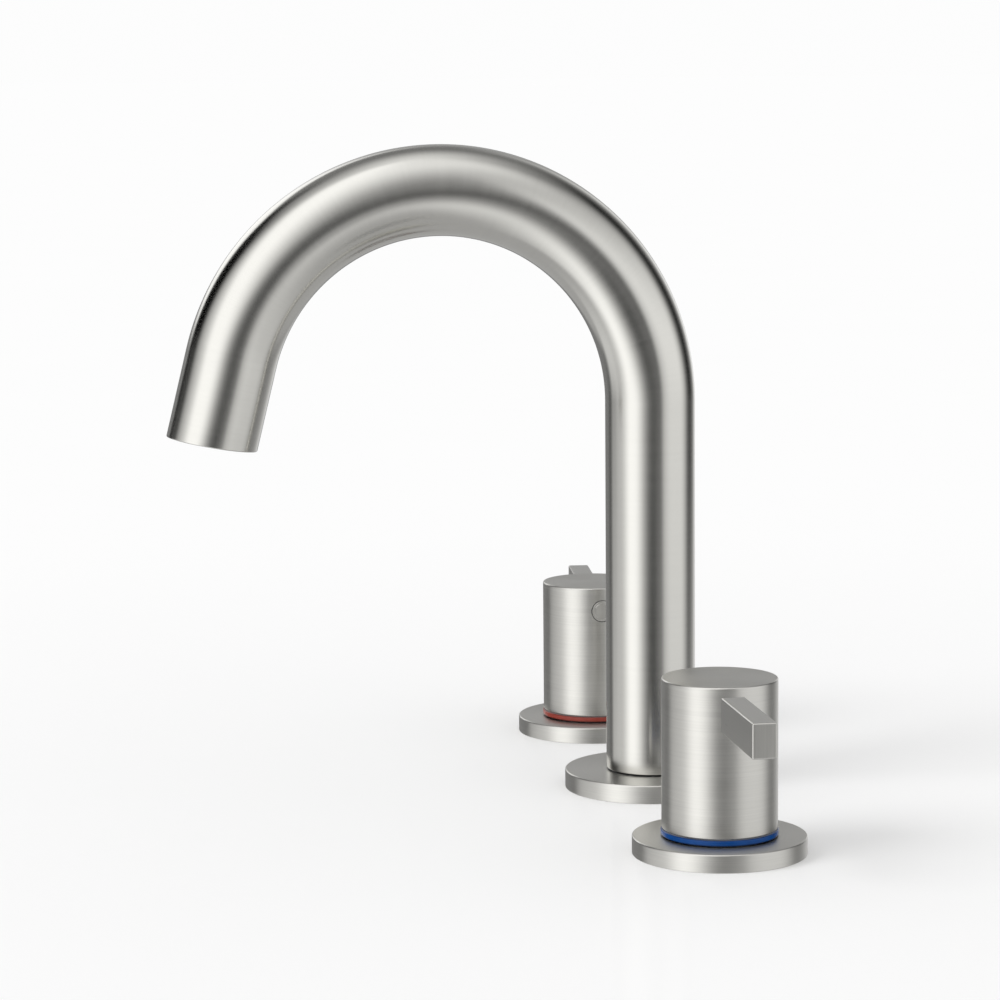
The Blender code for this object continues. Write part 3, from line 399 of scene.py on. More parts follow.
NICKEL = (0.640, 0.632, 0.600)
tube_nickel = brushed("brushed_nickel_tube", NICKEL, 0.02, (0.17, 0.21), 2600, 0.0000012, 0.5)
knob_nickel = brushed("brushed_nickel_handles", NICKEL, 0.06, (0.29, 0.37), 2300, 0.0000025, 0.5)
lever_nickel = brushed("brushed_nickel_levers", NICKEL, 0.05, (0.27, 0.33), 2300, 0.000002, 0.5)
print("finishes:", tube_nickel.name, knob_nickel.name, lever_nickel.name)

# %% [markdown]
# Most pieces of a faucet are turned on a lathe, so most shapes here are built the way a lathe drawing
# reads. A circle is added at the first point of the outline, and each further point is one extrusion
# of that ring, moved up or down and scaled in or out. Sharp corners then get a small bevel, because
# a real edge always catches a line of light, and weighted normals keep the flats flat.

# %% Turning helper
FINE = 128
ROUNDED_FROM = math.radians(32)
SHARP_FROM = math.radians(40)


def pick(shape, test, kind="VERT"):
    """Selects in edit mode the points or faces whose middle passes the test."""
    bpy.ops.object.mode_set(mode="EDIT")
    bpy.ops.mesh.select_mode(type=kind)
    bpy.ops.mesh.select_all(action="DESELECT")
    bpy.ops.object.mode_set(mode="OBJECT")
    mesh = shape.data
    spots = [(v, v.co) for v in mesh.vertices] if kind == "VERT" else [(f, f.center) for f in mesh.polygons]
    chosen = [item for item, spot in spots if test(shape.matrix_world @ spot)]
    for item in chosen:
        item.select = True
    bpy.ops.object.mode_set(mode="EDIT")
    return len(chosen)


def take(shape):
    """Selects one shape alone."""
    start_fresh()
    shape.select_set(True)
    bpy.context.view_layer.objects.active = shape


def settle(shape):
    """Puts the piece's place in its mesh, its origin at the world's."""
    take(shape)
    bpy.ops.object.transform_apply(location=True, rotation=True, scale=True)


def modify(shape, kind, **settings):
    """Adds a modifier to the taken shape, sets it and applies it."""
    bpy.ops.object.modifier_add(type=kind)
    step = shape.modifiers[-1]
    for name, value in settings.items():
        setattr(step, name, value)
    bpy.ops.object.modifier_apply(modifier=step.name)


def edit_all():
    """Edit mode, with everything selected."""
    bpy.ops.object.mode_set(mode="EDIT")
    bpy.ops.mesh.select_all(action="SELECT")


def close_up(merge=0):
    """Merges doubled points, turns every face outward and leaves edit mode."""
    bpy.ops.mesh.select_all(action="SELECT")
    if merge:
        bpy.ops.mesh.remove_doubles(threshold=merge)
    bpy.ops.mesh.normals_make_consistent(inside=False)
    bpy.ops.object.mode_set(mode="OBJECT")


def soften(shape, width=0):
    """Small rounded edges, with normals that keep the flats flat."""
    settle(shape)
    if width:
        modify(shape, "BEVEL", width=width, segments=3, limit_method="ANGLE", angle_limit=ROUNDED_FROM,
               use_clamp_overlap=True)
    bpy.ops.object.shade_smooth_by_angle(angle=SHARP_FROM)
    modify(shape, "WEIGHTED_NORMAL", keep_sharp=True)


def in_mm(*points):
    """An outline given in millimetres."""
    return [(radius * MM, height * MM) for radius, height in points]


def turned(name, outline, centre=(0, 0), sides=FINE, closed=True):
    """A round body from (radius, height) points; a radius of 0 closes it on its axis."""
    radius, height = outline[0]
    shape = fresh(name, bpy.ops.mesh.primitive_circle_add, vertices=sides, radius=max(radius, POLE),
                  location=(*centre, height))
    edit_all()
    steps = outline[1:] + ([outline[0]] if closed else [])
    for new_radius, new_height in steps:
        bpy.ops.mesh.extrude_edges_move(TRANSFORM_OT_translate={"value": (0, 0, new_height - height)})
        factor = max(new_radius, POLE) / max(radius, POLE)
        bpy.ops.transform.resize(value=(factor, factor, 1), center_override=(*centre, new_height))
        radius, height = new_radius, new_height
    bpy.ops.object.mode_set(mode="OBJECT")
    for point_radius, point_height in (outline[0], outline[-1]):
        if point_radius == 0:
            spot = Vector((*centre, point_height))
            pick(shape, lambda v: (v - spot).length < 2 * POLE)
            bpy.ops.mesh.merge(type="CENTER")
            bpy.ops.object.mode_set(mode="OBJECT")
    edit_all()
    close_up(POLE / 4)
    return shape


def round_corner(radius, height, bend, out, up, steps=4):
    """Points of a quarter round at an outline's corner; out and up say which way the corner points."""
    angles = [math.pi / 2 * step / steps for step in range(steps + 1)]
    return [(radius - out * bend * (1 - math.sin(angle)), height - up * bend * (1 - math.cos(angle)))
            for angle in angles]


# %% [markdown]
# The two attributes are worked out from the axis that a piece was turned about. For a plain turned
# piece that axis is a vertical line; for the spout it follows the arch.

# %% Grain helper
def upright(centre):
    """The axis of a piece turned about a vertical line: (point on it, its direction, the run along it)."""
    def axis_at(spot):
        return Vector((*centre, spot.z)), UP, spot.z
    return axis_at


def lay_grain(shape, axis_at, side=SIDEWAYS):
    """Writes both attributes; grain crosses the way round on every face."""
    mesh = shape.data
    lay = mesh.attributes.new("lay", "FLOAT_VECTOR", "POINT")
    grain = mesh.attributes.new("grain", "FLOAT_VECTOR", "CORNER")
    around = []
    for number, vertex in enumerate(mesh.vertices):
        foot, along, run = axis_at(vertex.co)
        out = vertex.co - foot
        out -= along * out.dot(along)
        other = along.cross(side)
        lay.data[number].vector = (out.dot(side), out.dot(other), run + out.length)
        around.append(along.cross(out).normalized() if out.length > POLE else side.copy())
    for face in mesh.polygons:
        for corner in face.loop_indices:
            way = around[mesh.loops[corner].vertex_index].cross(face.normal)
            grain.data[corner].vector = way.normalized() if way.length > 0.01 else side


def lathe_finish(shape, centre=(0, 0), edge=0):
    """Rounds and smooths a piece turned about an upright axis, and lays its grain."""
    soften(shape, edge)
    lay_grain(shape, upright(centre))


def move_to(shape, place):
    """Moves a settled piece by a matrix and turns its grain with it."""
    grain = shape.data.attributes.get("grain")
    for item in grain.data if grain else ():
        item.vector = place.to_3x3() @ item.vector
    shape.matrix_world = place
    settle(shape)


DECK_SKIN = 4.0 * MM


def finish_piece(shape, finish, body, slot, *nodes):
    """Gives a piece its material and hands it to the frame in place of its CAD nodes.

    What lies below the deck isn't mirrored by what stands on it, because the deck would hide it. Nor
    are the handles: in the photograph the front of the spout stays clean, with no handle in it.
    """
    shape.data.materials.clear()
    shape.data.materials.append(finish)
    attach(shape, body)
    if nodes:
        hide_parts(*nodes)
    mesh = shape.data
    heights = [vertex.co.z for vertex in mesh.vertices]
    shape.visible_glossy = (min(heights) > -DECK_SKIN and max(heights) > DECK_SKIN
                            and not body.endswith("_handle"))
    faces = sum(len(face.vertices) - 2 for face in mesh.polygons)
    print(shape.name, faces, "triangles")


# %% [markdown]
# A hole that runs across the lathe's rings is cut with a Boolean: a round peg is stood where the hole
# goes and taken away from the piece. The same step joins a stud or a thread on.

# %% Pegs and cuts
def peg(name, radius, start, finish, sides=64):
    """A plain round peg between two points, used as a cutter or as a first shape."""
    run = finish - start
    shape = fresh(name, bpy.ops.mesh.primitive_cylinder_add, vertices=sides, radius=radius,
                  depth=run.length, location=(start + finish) / 2,
                  rotation=run.to_track_quat("Z", "Y").to_euler())
    settle(shape)
    return shape


def combine(shape, tool, operation="DIFFERENCE"):
    """Cuts or adds another shape, which is used up, and merges the points that the step leaves doubled."""
    take(shape)
    modify(shape, "BOOLEAN", operation=operation, solver="EXACT", object=tool)
    bpy.data.objects.remove(tool, do_unlink=True)
    edit_all()
    bpy.ops.mesh.remove_doubles(threshold=POLE / 10)
    bpy.ops.object.mode_set(mode="OBJECT")


def polar(centre_x, radius, angle, height):
    return Vector((centre_x + radius * math.cos(angle), radius * math.sin(angle), height))


# %% [markdown]
# The spout is one length of tube: straight up, round an arch of 166 degrees, and a short straight tail
# cut almost square to it. A ring is extruded up the column, spun about the arch's centre and extruded
# down the tail. A bisect cuts the end, and Solidify gives the tube its 2 mm wall. A small hole low at
# the back lets the key reach the catch screw.

# %% Spout tube
TUBE_SIDES = 96
CATCH_LEVEL = 16.5 * MM
CATCH_HOLE = 2.8 * MM
COLUMN_STEPS = 8
ARCH_STEPS = 110
TAIL_STEPS = (0.35, 0.35, 0.45)


def spout_axis(spot):
    """Foot point, direction and run of the spout's centre line nearest to a point."""
    if spot.z <= BEND_HEIGHT and spot.y > -BEND_RADIUS:
        return Vector((0, 0, spot.z)), UP, spot.z
    out = Vector((0, spot.y - BEND_CENTRE.y, spot.z - BEND_CENTRE.z))
    angle = math.atan2(out.z, out.y)
    if angle < -math.pi / 2:
        angle += 2 * math.pi
    if angle <= BEND_SWEEP:
        out.normalize()
        along = Vector((0, -out.z, out.y))
        return BEND_CENTRE + out * BEND_RADIUS, along, BEND_HEIGHT + angle * BEND_RADIUS
    run = (spot - BEND_END).dot(TAIL_RUN)
    return BEND_END + TAIL_RUN * run, TAIL_RUN, BEND_HEIGHT + BEND_SWEEP * BEND_RADIUS + run


spout = fresh("spout_tube_drawn", bpy.ops.mesh.primitive_circle_add, vertices=TUBE_SIDES,
              radius=TUBE_RADIUS, location=(0, 0, TUBE_FOOT))
edit_all()
for step in range(COLUMN_STEPS):
    bpy.ops.mesh.extrude_edges_move(
        TRANSFORM_OT_translate={"value": (0, 0, (BEND_HEIGHT - TUBE_FOOT) / COLUMN_STEPS)})
bpy.ops.mesh.spin(steps=ARCH_STEPS, angle=-BEND_SWEEP, center=BEND_CENTRE, axis=(1, 0, 0))
for share in TAIL_STEPS:
    bpy.ops.mesh.extrude_edges_move(TRANSFORM_OT_translate={"value": TAIL_RUN * TAIL_LENGTH * share})
bpy.ops.mesh.select_all(action="SELECT")
bpy.ops.mesh.remove_doubles(threshold=POLE)
cut_way = Vector((0, -math.sin(BEND_SWEEP + OUTLET_TILT), math.cos(BEND_SWEEP + OUTLET_TILT)))
past_bend = pick(spout, lambda v: v.y < -BEND_RADIUS and v.z < BEND_HEIGHT + TUBE_RADIUS, "FACE")
bpy.ops.mesh.bisect(plane_co=OUTLET, plane_no=cut_way, clear_outer=True)
close_up()
settle(spout)
print("faces past the arch:", past_bend, "highest point:", round(max(v.co.z for v in spout.data.vertices), 4))
modify(spout, "SOLIDIFY", thickness=TUBE_WALL, offset=-1)
soften(spout, 0.35 * MM)
combine(spout, peg("catch_hole", CATCH_HOLE, Vector((0, TUBE_RADIUS - TUBE_WALL - MM, CATCH_LEVEL)),
                   Vector((0, TUBE_RADIUS + MM, CATCH_LEVEL)), 48))
soften(spout)
lay_grain(spout, spout_axis)
finish_piece(spout, tube_nickel, "spout", "brushed_nickel", "spout_tube")

# %% [markdown]
# Each plate that covers a hole in the deck is a shallow cap, hollow below, turned from bar. Its top edge
# is rounded just enough to catch a line of light. A hole in the middle lets the barrel or post through.

# %% Cover plates
PLATE_EDGE = 0.5 * MM


def cover_plate(name, radius, height, hole, centre, *nodes):
    edge = round_corner(radius, height, PLATE_EDGE, 1, 1)
    outline = [(hole, height), ((hole + radius) / 2, height)] + edge + [
        (radius, height / 2), (radius, 0), (radius - PLATE_SKIN, 0),
        (radius - PLATE_SKIN, height - PLATE_SKIN), (hole, height - PLATE_SKIN)]
    plate = turned(name, outline, centre)
    lathe_finish(plate, centre, 0.18 * MM)
    finish_piece(plate, knob_nickel, "base", "brushed_nickel", *nodes)


cover_plate("spout_plate_turned", SPOUT_PLATE_RADIUS, SPOUT_PLATE_HEIGHT, SPOUT_PLATE_HOLE, (0, 0),
            "spout_escutcheon")
for side, handle in HANDLES.items():
    cover_plate(side + "_plate_turned", HANDLE_PLATE_RADIUS, HANDLE_PLATE_HEIGHT, BARREL_HOLE,
                (handle["x"], 0), side + "_escutcheon")

# %% [markdown]
# A handle is a plain cylinder, open below, with a round hole for the lever's stud and another, facing
# the spout, for the cap over the set screw.

# %% Knobs
KNOB_EDGE = 0.55 * MM
PLUG_HOLE = 4.2 * MM
STUD_HOLE = 3.3 * MM

for side, handle in HANDLES.items():
    x = handle["x"]
    outline = [(0, KNOB_TOP), (4 * MM, KNOB_TOP), (9 * MM, KNOB_TOP), (14 * MM, KNOB_TOP)]
    outline += round_corner(KNOB_RADIUS, KNOB_TOP, KNOB_EDGE, 1, 1)
    outline += [(KNOB_RADIUS, 40 * MM), (KNOB_RADIUS, 24 * MM)]
    outline += reversed(round_corner(KNOB_RADIUS, KNOB_FOOT, 0.4 * MM, 1, -1))
    outline += [(KNOB_BORE, KNOB_FOOT), (KNOB_BORE, KNOB_CEILING), (0, KNOB_CEILING)]
    knob = turned(side + "_knob_turned", outline, (x, 0), closed=False)
    for hole, way in ((PLUG_HOLE, handle["back"]), (STUD_HOLE, handle["out"])):
        combine(knob, peg("hole", hole, polar(x, KNOB_BORE - MM, way, LEVER_LEVEL),
                          polar(x, KNOB_RADIUS + MM, way, LEVER_LEVEL)))
    lathe_finish(knob, (x, 0))
    finish_piece(knob, knob_nickel, side + "_handle", "brushed_nickel", side + "_knob")

# %% [markdown]
# The lever is a flat bar set on edge. Its root is hollowed to the knob's round, so that it sits close
# against it, and a round stud runs on into the hub. Its edges are narrowly rounded and catch the light.

# %% Levers
LEVER_EDGE = 0.55 * MM
STUD_RADIUS = 3.0 * MM
STUD_INNER = 8.0 * MM
BAR_INNER = 12.0 * MM
ROOT_PLAY = 0.3 * MM


def lay_bar_grain(bar):
    """The bar is drawn along its length: hairlines run along X, and upright on the end face."""
    mesh = bar.data
    for name in ("lay", "grain"):
        mesh.attributes.new(name, "FLOAT_VECTOR", "CORNER")
    lay, grain = mesh.attributes["lay"], mesh.attributes["grain"]
    for face in mesh.polygons:
        on_end = abs(face.normal.x) > 0.8
        way = Vector((0, 1, 0)) if on_end else SIDEWAYS.cross(face.normal).normalized()
        for corner in face.loop_indices:
            spot = mesh.vertices[mesh.loops[corner].vertex_index].co
            lay.data[corner].vector = (spot.z, 0, spot.y) if on_end else (spot.x, 0, spot.y + spot.z)
            grain.data[corner].vector = way


for side, handle in HANDLES.items():
    lever = fresh(side + "_lever_bar", bpy.ops.mesh.primitive_cube_add, size=1,
                  location=((BAR_INNER + LEVER_REACH) / 2, 0, LEVER_LEVEL),
                  scale=(LEVER_REACH - BAR_INNER, LEVER_WIDTH, LEVER_DEPTH))
    settle(lever)
    modify(lever, "BEVEL", width=LEVER_EDGE, segments=3, profile=0.5)
    combine(lever, peg("root", KNOB_RADIUS + ROOT_PLAY, Vector((0, 0, 0)), Vector((0, 0, 0.1)), FINE))
    combine(lever, peg("stud", STUD_RADIUS, Vector((STUD_INNER, 0, LEVER_LEVEL)),
                       Vector((KNOB_RADIUS + MM, 0, LEVER_LEVEL))), "UNION")
    soften(lever)
    lay_bar_grain(lever)
    move_to(lever, Matrix.Translation((handle["x"], 0, 0)) @ Matrix.Rotation(handle["out"], 4, "Z"))
    finish_piece(lever, lever_nickel, side + "_handle", "brushed_nickel", side + "_lever")

# %% [markdown]
# Between knob and plate lies a plastic ring, red for hot and blue for cold. Its outer wall is rounded,
# as a moulded edge is. It is dyed through and only faintly glossy. Its colour is darkened towards both
# edges as painted shade: under the knob above, and against the plate below.

# %% Index rings
INDEX_RADIUS = 19.25 * MM
INDEX_FOOT = 6.3 * MM
INDEX_TOP = 8.3 * MM
INDEX_EDGE = 0.5 * MM


def gloss_plastic(name, colour, deep):
    finish, tree = new_finish(name)
    spot = own_place(tree)
    cloud = noise(tree, spot, 260.0, 3.0)
    dyed = ramp(tree, cloud, [(0.3, deep), (0.7, colour)])
    height = add(tree, "SeparateXYZ", Vector=spot).outputs["Z"]
    level = span(tree, height, 0.0, 1.0, INDEX_FOOT, INDEX_TOP)
    # painted shade: the dye is darkened towards the ring's foot and top, where the plate and the knob shade
    # it
    painted_edge_shade = ramp(tree, level, [(0.0, 0.10), (0.12, 0.25), (0.34, 1.0), (0.80, 0.95), (1.0, 0.40)])
    tone = add(tree, "Mix", {"data_type": "RGBA", "blend_type": "MULTIPLY"},
               i0=1.0, i6=dyed, i7=painted_edge_shade).outputs[2]
    peel = raised(tree, noise(tree, spot, 900.0, 2.0), 0.000004, 0.5)
    surface(tree, Base_Color=tone, Roughness=span(tree, cloud, 0.16, 0.26), Normal=peel, IOR=1.5,
            Specular_IOR_Level=0.25)
    return finish


red_gloss = gloss_plastic("red_gloss_plastic", (0.37, 0.070, 0.052), (0.32, 0.056, 0.042))
blue_gloss = gloss_plastic("blue_gloss_plastic", (0.002, 0.068, 0.29), (0.002, 0.055, 0.24))
for side, paint, slot in (("hot", red_gloss, "red_plastic"), ("cold", blue_gloss, "blue_plastic")):
    centre = (HANDLES[side]["x"], 0)
    outline = [(BARREL_HOLE, INDEX_TOP)] + round_corner(INDEX_RADIUS, INDEX_TOP, INDEX_EDGE, 1, 1)
    outline += reversed(round_corner(INDEX_RADIUS, INDEX_FOOT, INDEX_EDGE, 1, -1))
    outline += [(BARREL_HOLE, INDEX_FOOT)]
    band = turned(side + "_index_ring_moulded", outline, centre)
    soften(band)
    finish_piece(band, paint, "base", slot, side + "_index_ring")

# %% [markdown]
# The cap over each set screw is a small turned disc with a fine groove round it, set flush in the knob.
# A thin black rubber ring is set in the gap round it, just below the face, as painted shade: it makes the
# fine dark circle that the photograph shows.

# %% Set screw caps
def moulded(name, colour, bloom, rough, skin, depth):
    """Rubber, nylon, acetal or ceramic: skin is the pattern's fineness, depth its bump in metres."""
    finish, tree = new_finish(name)
    spot = own_place(tree)
    fine = noise(tree, spot, skin, 3.0)
    tone = ramp(tree, noise(tree, spot, 120.0, 5.0, 0.65), [(0.35, colour), (0.7, bloom)])
    surface(tree, Base_Color=tone, Roughness=span(tree, fine, *rough, 0.35, 0.65),
            Normal=raised(tree, fine, depth, 0.8))
    return finish


soft_rubber = moulded("black_rubber", (0.022, 0.022, 0.022), (0.05, 0.05, 0.048), (0.62, 0.82),
                      1500.0, 0.00002)
PLUG_RADIUS = 3.9 * MM
PLUG_DEPTH = 2.3 * MM
SHADE_RING_PLAY = 0.01 * MM
SHADE_RING_TOP = -0.1 * MM
SHADE_RING_FOOT = -0.9 * MM
for side, handle in HANDLES.items():
    outline = [(0, 0), (1.2 * MM, 0), (2.5 * MM, 0), (2.85 * MM, 0), (2.9 * MM, -0.45 * MM),
               (3.12 * MM, -0.45 * MM), (3.17 * MM, 0), (PLUG_RADIUS - 0.25 * MM, 0),
               (PLUG_RADIUS - 0.07 * MM, -0.07 * MM), (PLUG_RADIUS, -0.25 * MM), (PLUG_RADIUS, -PLUG_DEPTH),
               (0, -PLUG_DEPTH)]
    cap = turned(side + "_cap_turned", outline, (0, 0), 64, closed=False)
    lathe_finish(cap)
    # painted shade: a black rubber ring in the gap round the cap stands in for the shade there
    inner, outer = PLUG_RADIUS + SHADE_RING_PLAY, PLUG_HOLE - SHADE_RING_PLAY
    seal = turned(side + "_cap_seal_moulded", [(inner, SHADE_RING_TOP), (outer, SHADE_RING_TOP), (outer, SHADE_RING_FOOT),
                                               (inner, SHADE_RING_FOOT)], (0, 0), 64)
    soften(seal)
    tip = Matrix.Rotation(handle["back"], 4, "Z") @ Matrix.Rotation(math.pi / 2, 4, "Y")
    for shape in (cap, seal):
        spot = polar(handle["x"], KNOB_RADIUS, handle["back"], LEVER_LEVEL)
        move_to(shape, Matrix.Translation(spot) @ tip)
    finish_piece(cap, knob_nickel, side + "_handle", "brushed_nickel", side + "_plug")
    finish_piece(seal, soft_rubber, side + "_handle", "black_rubber")

# %% [markdown]
# Small round pieces are turned standing up at the origin and then aimed: stood on a point and turned
# to point along a direction. A hexagon nut starts as a six-sided rod. Its corners are taken off by
# keeping only what lies inside a turned blank with sloping ends, as a real nut is chamfered. A screw
# thread is a ridge that a Screw modifier winds up a rod, joined on with a Boolean.

# %% Aiming, hexagons and threads
def aimed(shape, start, way):
    """Stands a shape made along Z on the point start, pointing along way."""
    settle(shape)
    move_to(shape, Matrix.Translation(start) @ UP.rotation_difference(way).to_matrix().to_4x4())
    return shape


def copied(shape, name):
    """A second piece with its own mesh."""
    twin = shape.copy()
    twin.data = shape.data.copy()
    twin.name = twin.data.name = name
    bpy.context.scene.collection.objects.link(twin)
    return twin


def bored(shape, outline, sides=FINE):
    """Takes a turned form out of a shape."""
    combine(shape, turned("bore", outline, sides=sides, closed=False))


def hexagon(name, corner, low, high):
    """A chamfered hexagon rod along Z; corner is the radius to its corners."""
    flat = corner * math.cos(math.pi / 6) - 0.2 * MM
    slope = (corner - flat) * math.tan(math.radians(30))
    rod = fresh(name, bpy.ops.mesh.primitive_cylinder_add, vertices=6, radius=corner, depth=high - low,
                location=(0, 0, (low + high) / 2))
    settle(rod)
    wide = corner + POLE
    combine(rod, turned("blank", [(0, low), (flat, low), (wide, low + slope), (wide, high - slope),
                                  (flat, high), (0, high)], closed=False), "INTERSECT")
    return rod


def threaded(shape, root, crest, low, high, pitch, steps=36):
    """Winds a ridge up a rod made along Z at the origin and joins it on."""
    deep = root - 0.15 * MM
    tip = pitch * 0.07
    foot = tip + (crest - deep) * math.tan(math.radians(30))
    ridge = fresh("ridge", bpy.ops.mesh.primitive_plane_add, size=1)
    corners = ((deep, -foot), (crest, -tip), (deep, foot), (crest, tip))
    for vertex, (radius, height) in zip(ridge.data.vertices, corners):
        vertex.co = (radius, 0, low + foot + height)
    modify(ridge, "SCREW", steps=steps, render_steps=steps, screw_offset=pitch,
           iterations=int((high - low - 2 * foot) / pitch))
    edit_all()
    bpy.ops.mesh.fill_holes(sides=4)
    close_up()
    combine(shape, ridge, "UNION")


# %% [markdown]
# Below the deck nothing is polished. Brass is left as the lathe leaves it, with turning lines and a
# little tarnish. Copper is drawn, so it has streaks along its length. Rubber is matt and slightly
# dusty, nylon and acetal have a fine moulded skin, and the ceramic discs are lapped smooth.

# %% Finishes of the working parts
def machined(name, colour, tarnish, rough, hairline, depth):
    """Turned metal that reads the lay attribute; tarnish is its darker, duller colour."""
    finish, tree = new_finish(name)
    lines = noise(tree, stretched(tree, named(tree, "lay"), (40, 40, hairline)), 1.0, 3.0)
    cloud = noise(tree, own_place(tree), 90.0, 4.0, 0.6)
    both = do(tree, "ADD", do(tree, "MULTIPLY", cloud, 0.65), do(tree, "MULTIPLY", lines, 0.35))
    tone = ramp(tree, both, [(0.36, tarnish), (0.62, colour)])
    surface(tree, Base_Color=tone, Metallic=1.0, Roughness=span(tree, both, rough[1], rough[0], 0.35, 0.65),
            Normal=raised(tree, lines, depth))
    return finish


def plain_metal(name, colour, tarnish, rough, stretch):
    """Metal for pieces without a lay attribute; stretch scales the noise along X, Y and Z."""
    finish, tree = new_finish(name)
    lines = noise(tree, stretched(tree, own_place(tree), stretch), 1.0, 4.0, 0.6)
    tone = ramp(tree, lines, [(0.34, tarnish), (0.64, colour)])
    surface(tree, Base_Color=tone, Metallic=1.0, Roughness=span(tree, lines, rough[1], rough[0], 0.35, 0.65),
            Normal=raised(tree, lines, 0.00001, 0.6))
    return finish


turned_brass = machined("turned_brass", (0.78, 0.58, 0.29), (0.58, 0.40, 0.17), (0.24, 0.38), 1500, 0.000004)
inner_brass = plain_metal("inner_brass", (0.76, 0.56, 0.28), (0.60, 0.42, 0.19), (0.26, 0.40),
                          (150, 150, 900))
drawn_copper = plain_metal("drawn_copper", (0.80, 0.44, 0.28), (0.70, 0.35, 0.21), (0.24, 0.34),
                           (40, 700, 700))
stamped_steel = plain_metal("stamped_stainless_steel", (0.62, 0.62, 0.61), (0.50, 0.51, 0.52), (0.24, 0.36),
                            (500, 500, 500))
slide_nylon = moulded("black_nylon", (0.032, 0.032, 0.034), (0.045, 0.045, 0.047), (0.36, 0.5),
                      2200.0, 0.000008)
white_acetal = moulded("white_acetal", (0.80, 0.80, 0.77), (0.84, 0.84, 0.82), (0.32, 0.44), 1800.0, 0.000006)
lapped_ceramic = moulded("lapped_ceramic", (0.86, 0.85, 0.82), (0.90, 0.89, 0.87), (0.12, 0.2),
                         2500.0, 0.000002)
print("working finishes:", len(bpy.data.materials), "materials in all")

# %% [markdown]
# The spout turns on a post. A black nylon ring fills the seam between its foot and the plate, and is
# what makes the fine dark line there. A screw with a hexagon socket at the back keeps the tube on its
# post; its tip runs in a slot of the post and ends the swivel at either side.

# %% Seam ring and catch screw
glide = turned("spout_glide_ring_moulded", in_mm((11.95, 6.7), (14.9, 6.7), (15.15, 6.45), (15.15, 4.5),
                                                 (11.95, 4.5)))
soften(glide)
finish_piece(glide, slide_nylon, "base", "black_nylon", "spout_glide_ring")

screw = turned("spout_catch_screw", in_mm((0, 0), (1.7, 0), (2.1, 0.35), (2.1, 5.2), (1.9, 5.4), (0, 5.4)),
               sides=48, closed=False)
threaded(screw, 2.1 * MM, 2.5 * MM, 0.5 * MM, 5.1 * MM, 0.8 * MM, 32)
combine(screw, peg("socket", 1.4 * MM, Vector((0, 0, 3.2 * MM)), Vector((0, 0, 6.4 * MM)), 6))
soften(screw)
aimed(screw, Vector((0, 9.95 * MM, CATCH_LEVEL)), Vector((0, 1, 0)))
finish_piece(screw, stamped_steel, "spout", "stainless_steel", "spout_set_screw")

# %% [markdown]
# The aerator sits inside the outlet, a little way up. A nickel ring holds a white cup whose floor is
# pierced by nineteen small jets, and a rubber washer seals it against the tube's wall. Four notches in
# the ring take the key that unscrews it. All of it is turned upright and aimed up the spout's tail.

# %% Aerator
NOTCH_RADIUS = 0.9 * MM
JET_RADIUS = 0.8 * MM
JET_PITCH = 3.4 * MM
UP_TAIL = -TAIL_RUN

housing = turned("aerator_housing_turned", in_mm((10.35, 1.9), (10.55, 1.6), (13.15, 1.6), (13.45, 1.9),
                                                 (13.45, 15.6), (11.55, 15.6), (11.55, 2.8), (10.35, 2.8)))
for quarter in range(4):
    spot = polar(0, 10.35 * MM, math.pi / 4 + quarter * math.pi / 2, 0)
    combine(housing, peg("notch", NOTCH_RADIUS, spot, spot + UP * 4 * MM, 24))
lathe_finish(housing)
aimed(housing, OUTLET, UP_TAIL)
finish_piece(housing, knob_nickel, "spout", "brushed_nickel", "spout_aerator_housing")

cup = turned("aerator_insert_moulded", in_mm((0, 3.1), (10.95, 3.1), (11.25, 3.4), (11.25, 15.6),
                                             (9.85, 15.6), (9.85, 4.7), (0, 4.7)), closed=False)
jets = [peg("jet", JET_RADIUS, UP * 2 * MM, UP * 6 * MM, 20)]
for ring_number in (1, 2):
    for step in range(6 * ring_number):
        spot = polar(0, JET_PITCH * ring_number, math.tau * step / (6 * ring_number), 0)
        jets.append(peg("jet", JET_RADIUS, spot + UP * 2 * MM, spot + UP * 6 * MM, 20))
start_fresh()
for jet in jets:
    jet.select_set(True)
bpy.context.view_layer.objects.active = jets[0]
bpy.ops.object.join()
print("jets:", len(jets))
combine(cup, jets[0])
soften(cup)
aimed(cup, OUTLET, UP_TAIL)
finish_piece(cup, white_acetal, "spout", "white_acetal", "spout_aerator_insert")


def flat_ring(name, inner, outer, low, high, edge=0.25 * MM):
    """A gasket or washer along Z with eased edges."""
    return turned(name, [(inner, high - edge), (inner + edge, high), (outer - edge, high),
                         (outer, high - edge), (outer, low + edge), (outer - edge, low),
                         (inner + edge, low), (inner, low + edge)])


seal = flat_ring("aerator_washer_moulded", 10.25 * MM, 13.45 * MM, 15.9 * MM, 17.9 * MM)
soften(seal)
aimed(seal, OUTLET, UP_TAIL)
finish_piece(seal, soft_rubber, "spout", "black_rubber", "spout_aerator_washer")

# %% [markdown]
# The post, its collar and the threaded shank are one turned piece of brass. The collar stands on the
# deck, and the shank goes through it. Two grooves hold the O-rings, and a slot a little more than a
# third of the way round takes the catch screw's tip. The slot is cut with a spun block.

# %% Spout shank
SHANK_BORE = 6.0 * MM
SHANK_CREST = 10.3 * MM
SHANK_ROOT = 9.6 * MM
POST_RADIUS = 11.65 * MM
POST_TOP = 44.0 * MM
COLLAR_RADIUS = 20.0 * MM
GROOVE_RADIUS = 9.85 * MM
GROOVE_WIDTH = 2.6 * MM
GROOVE_FEET = (36.0 * MM, 27.0 * MM)
SWIVEL_EACH_WAY = math.radians(60)
SLOT_FLOOR = 9.65 * MM
SLOT_REACH = 13.0 * MM
SLOT_HALF = 2.8 * MM

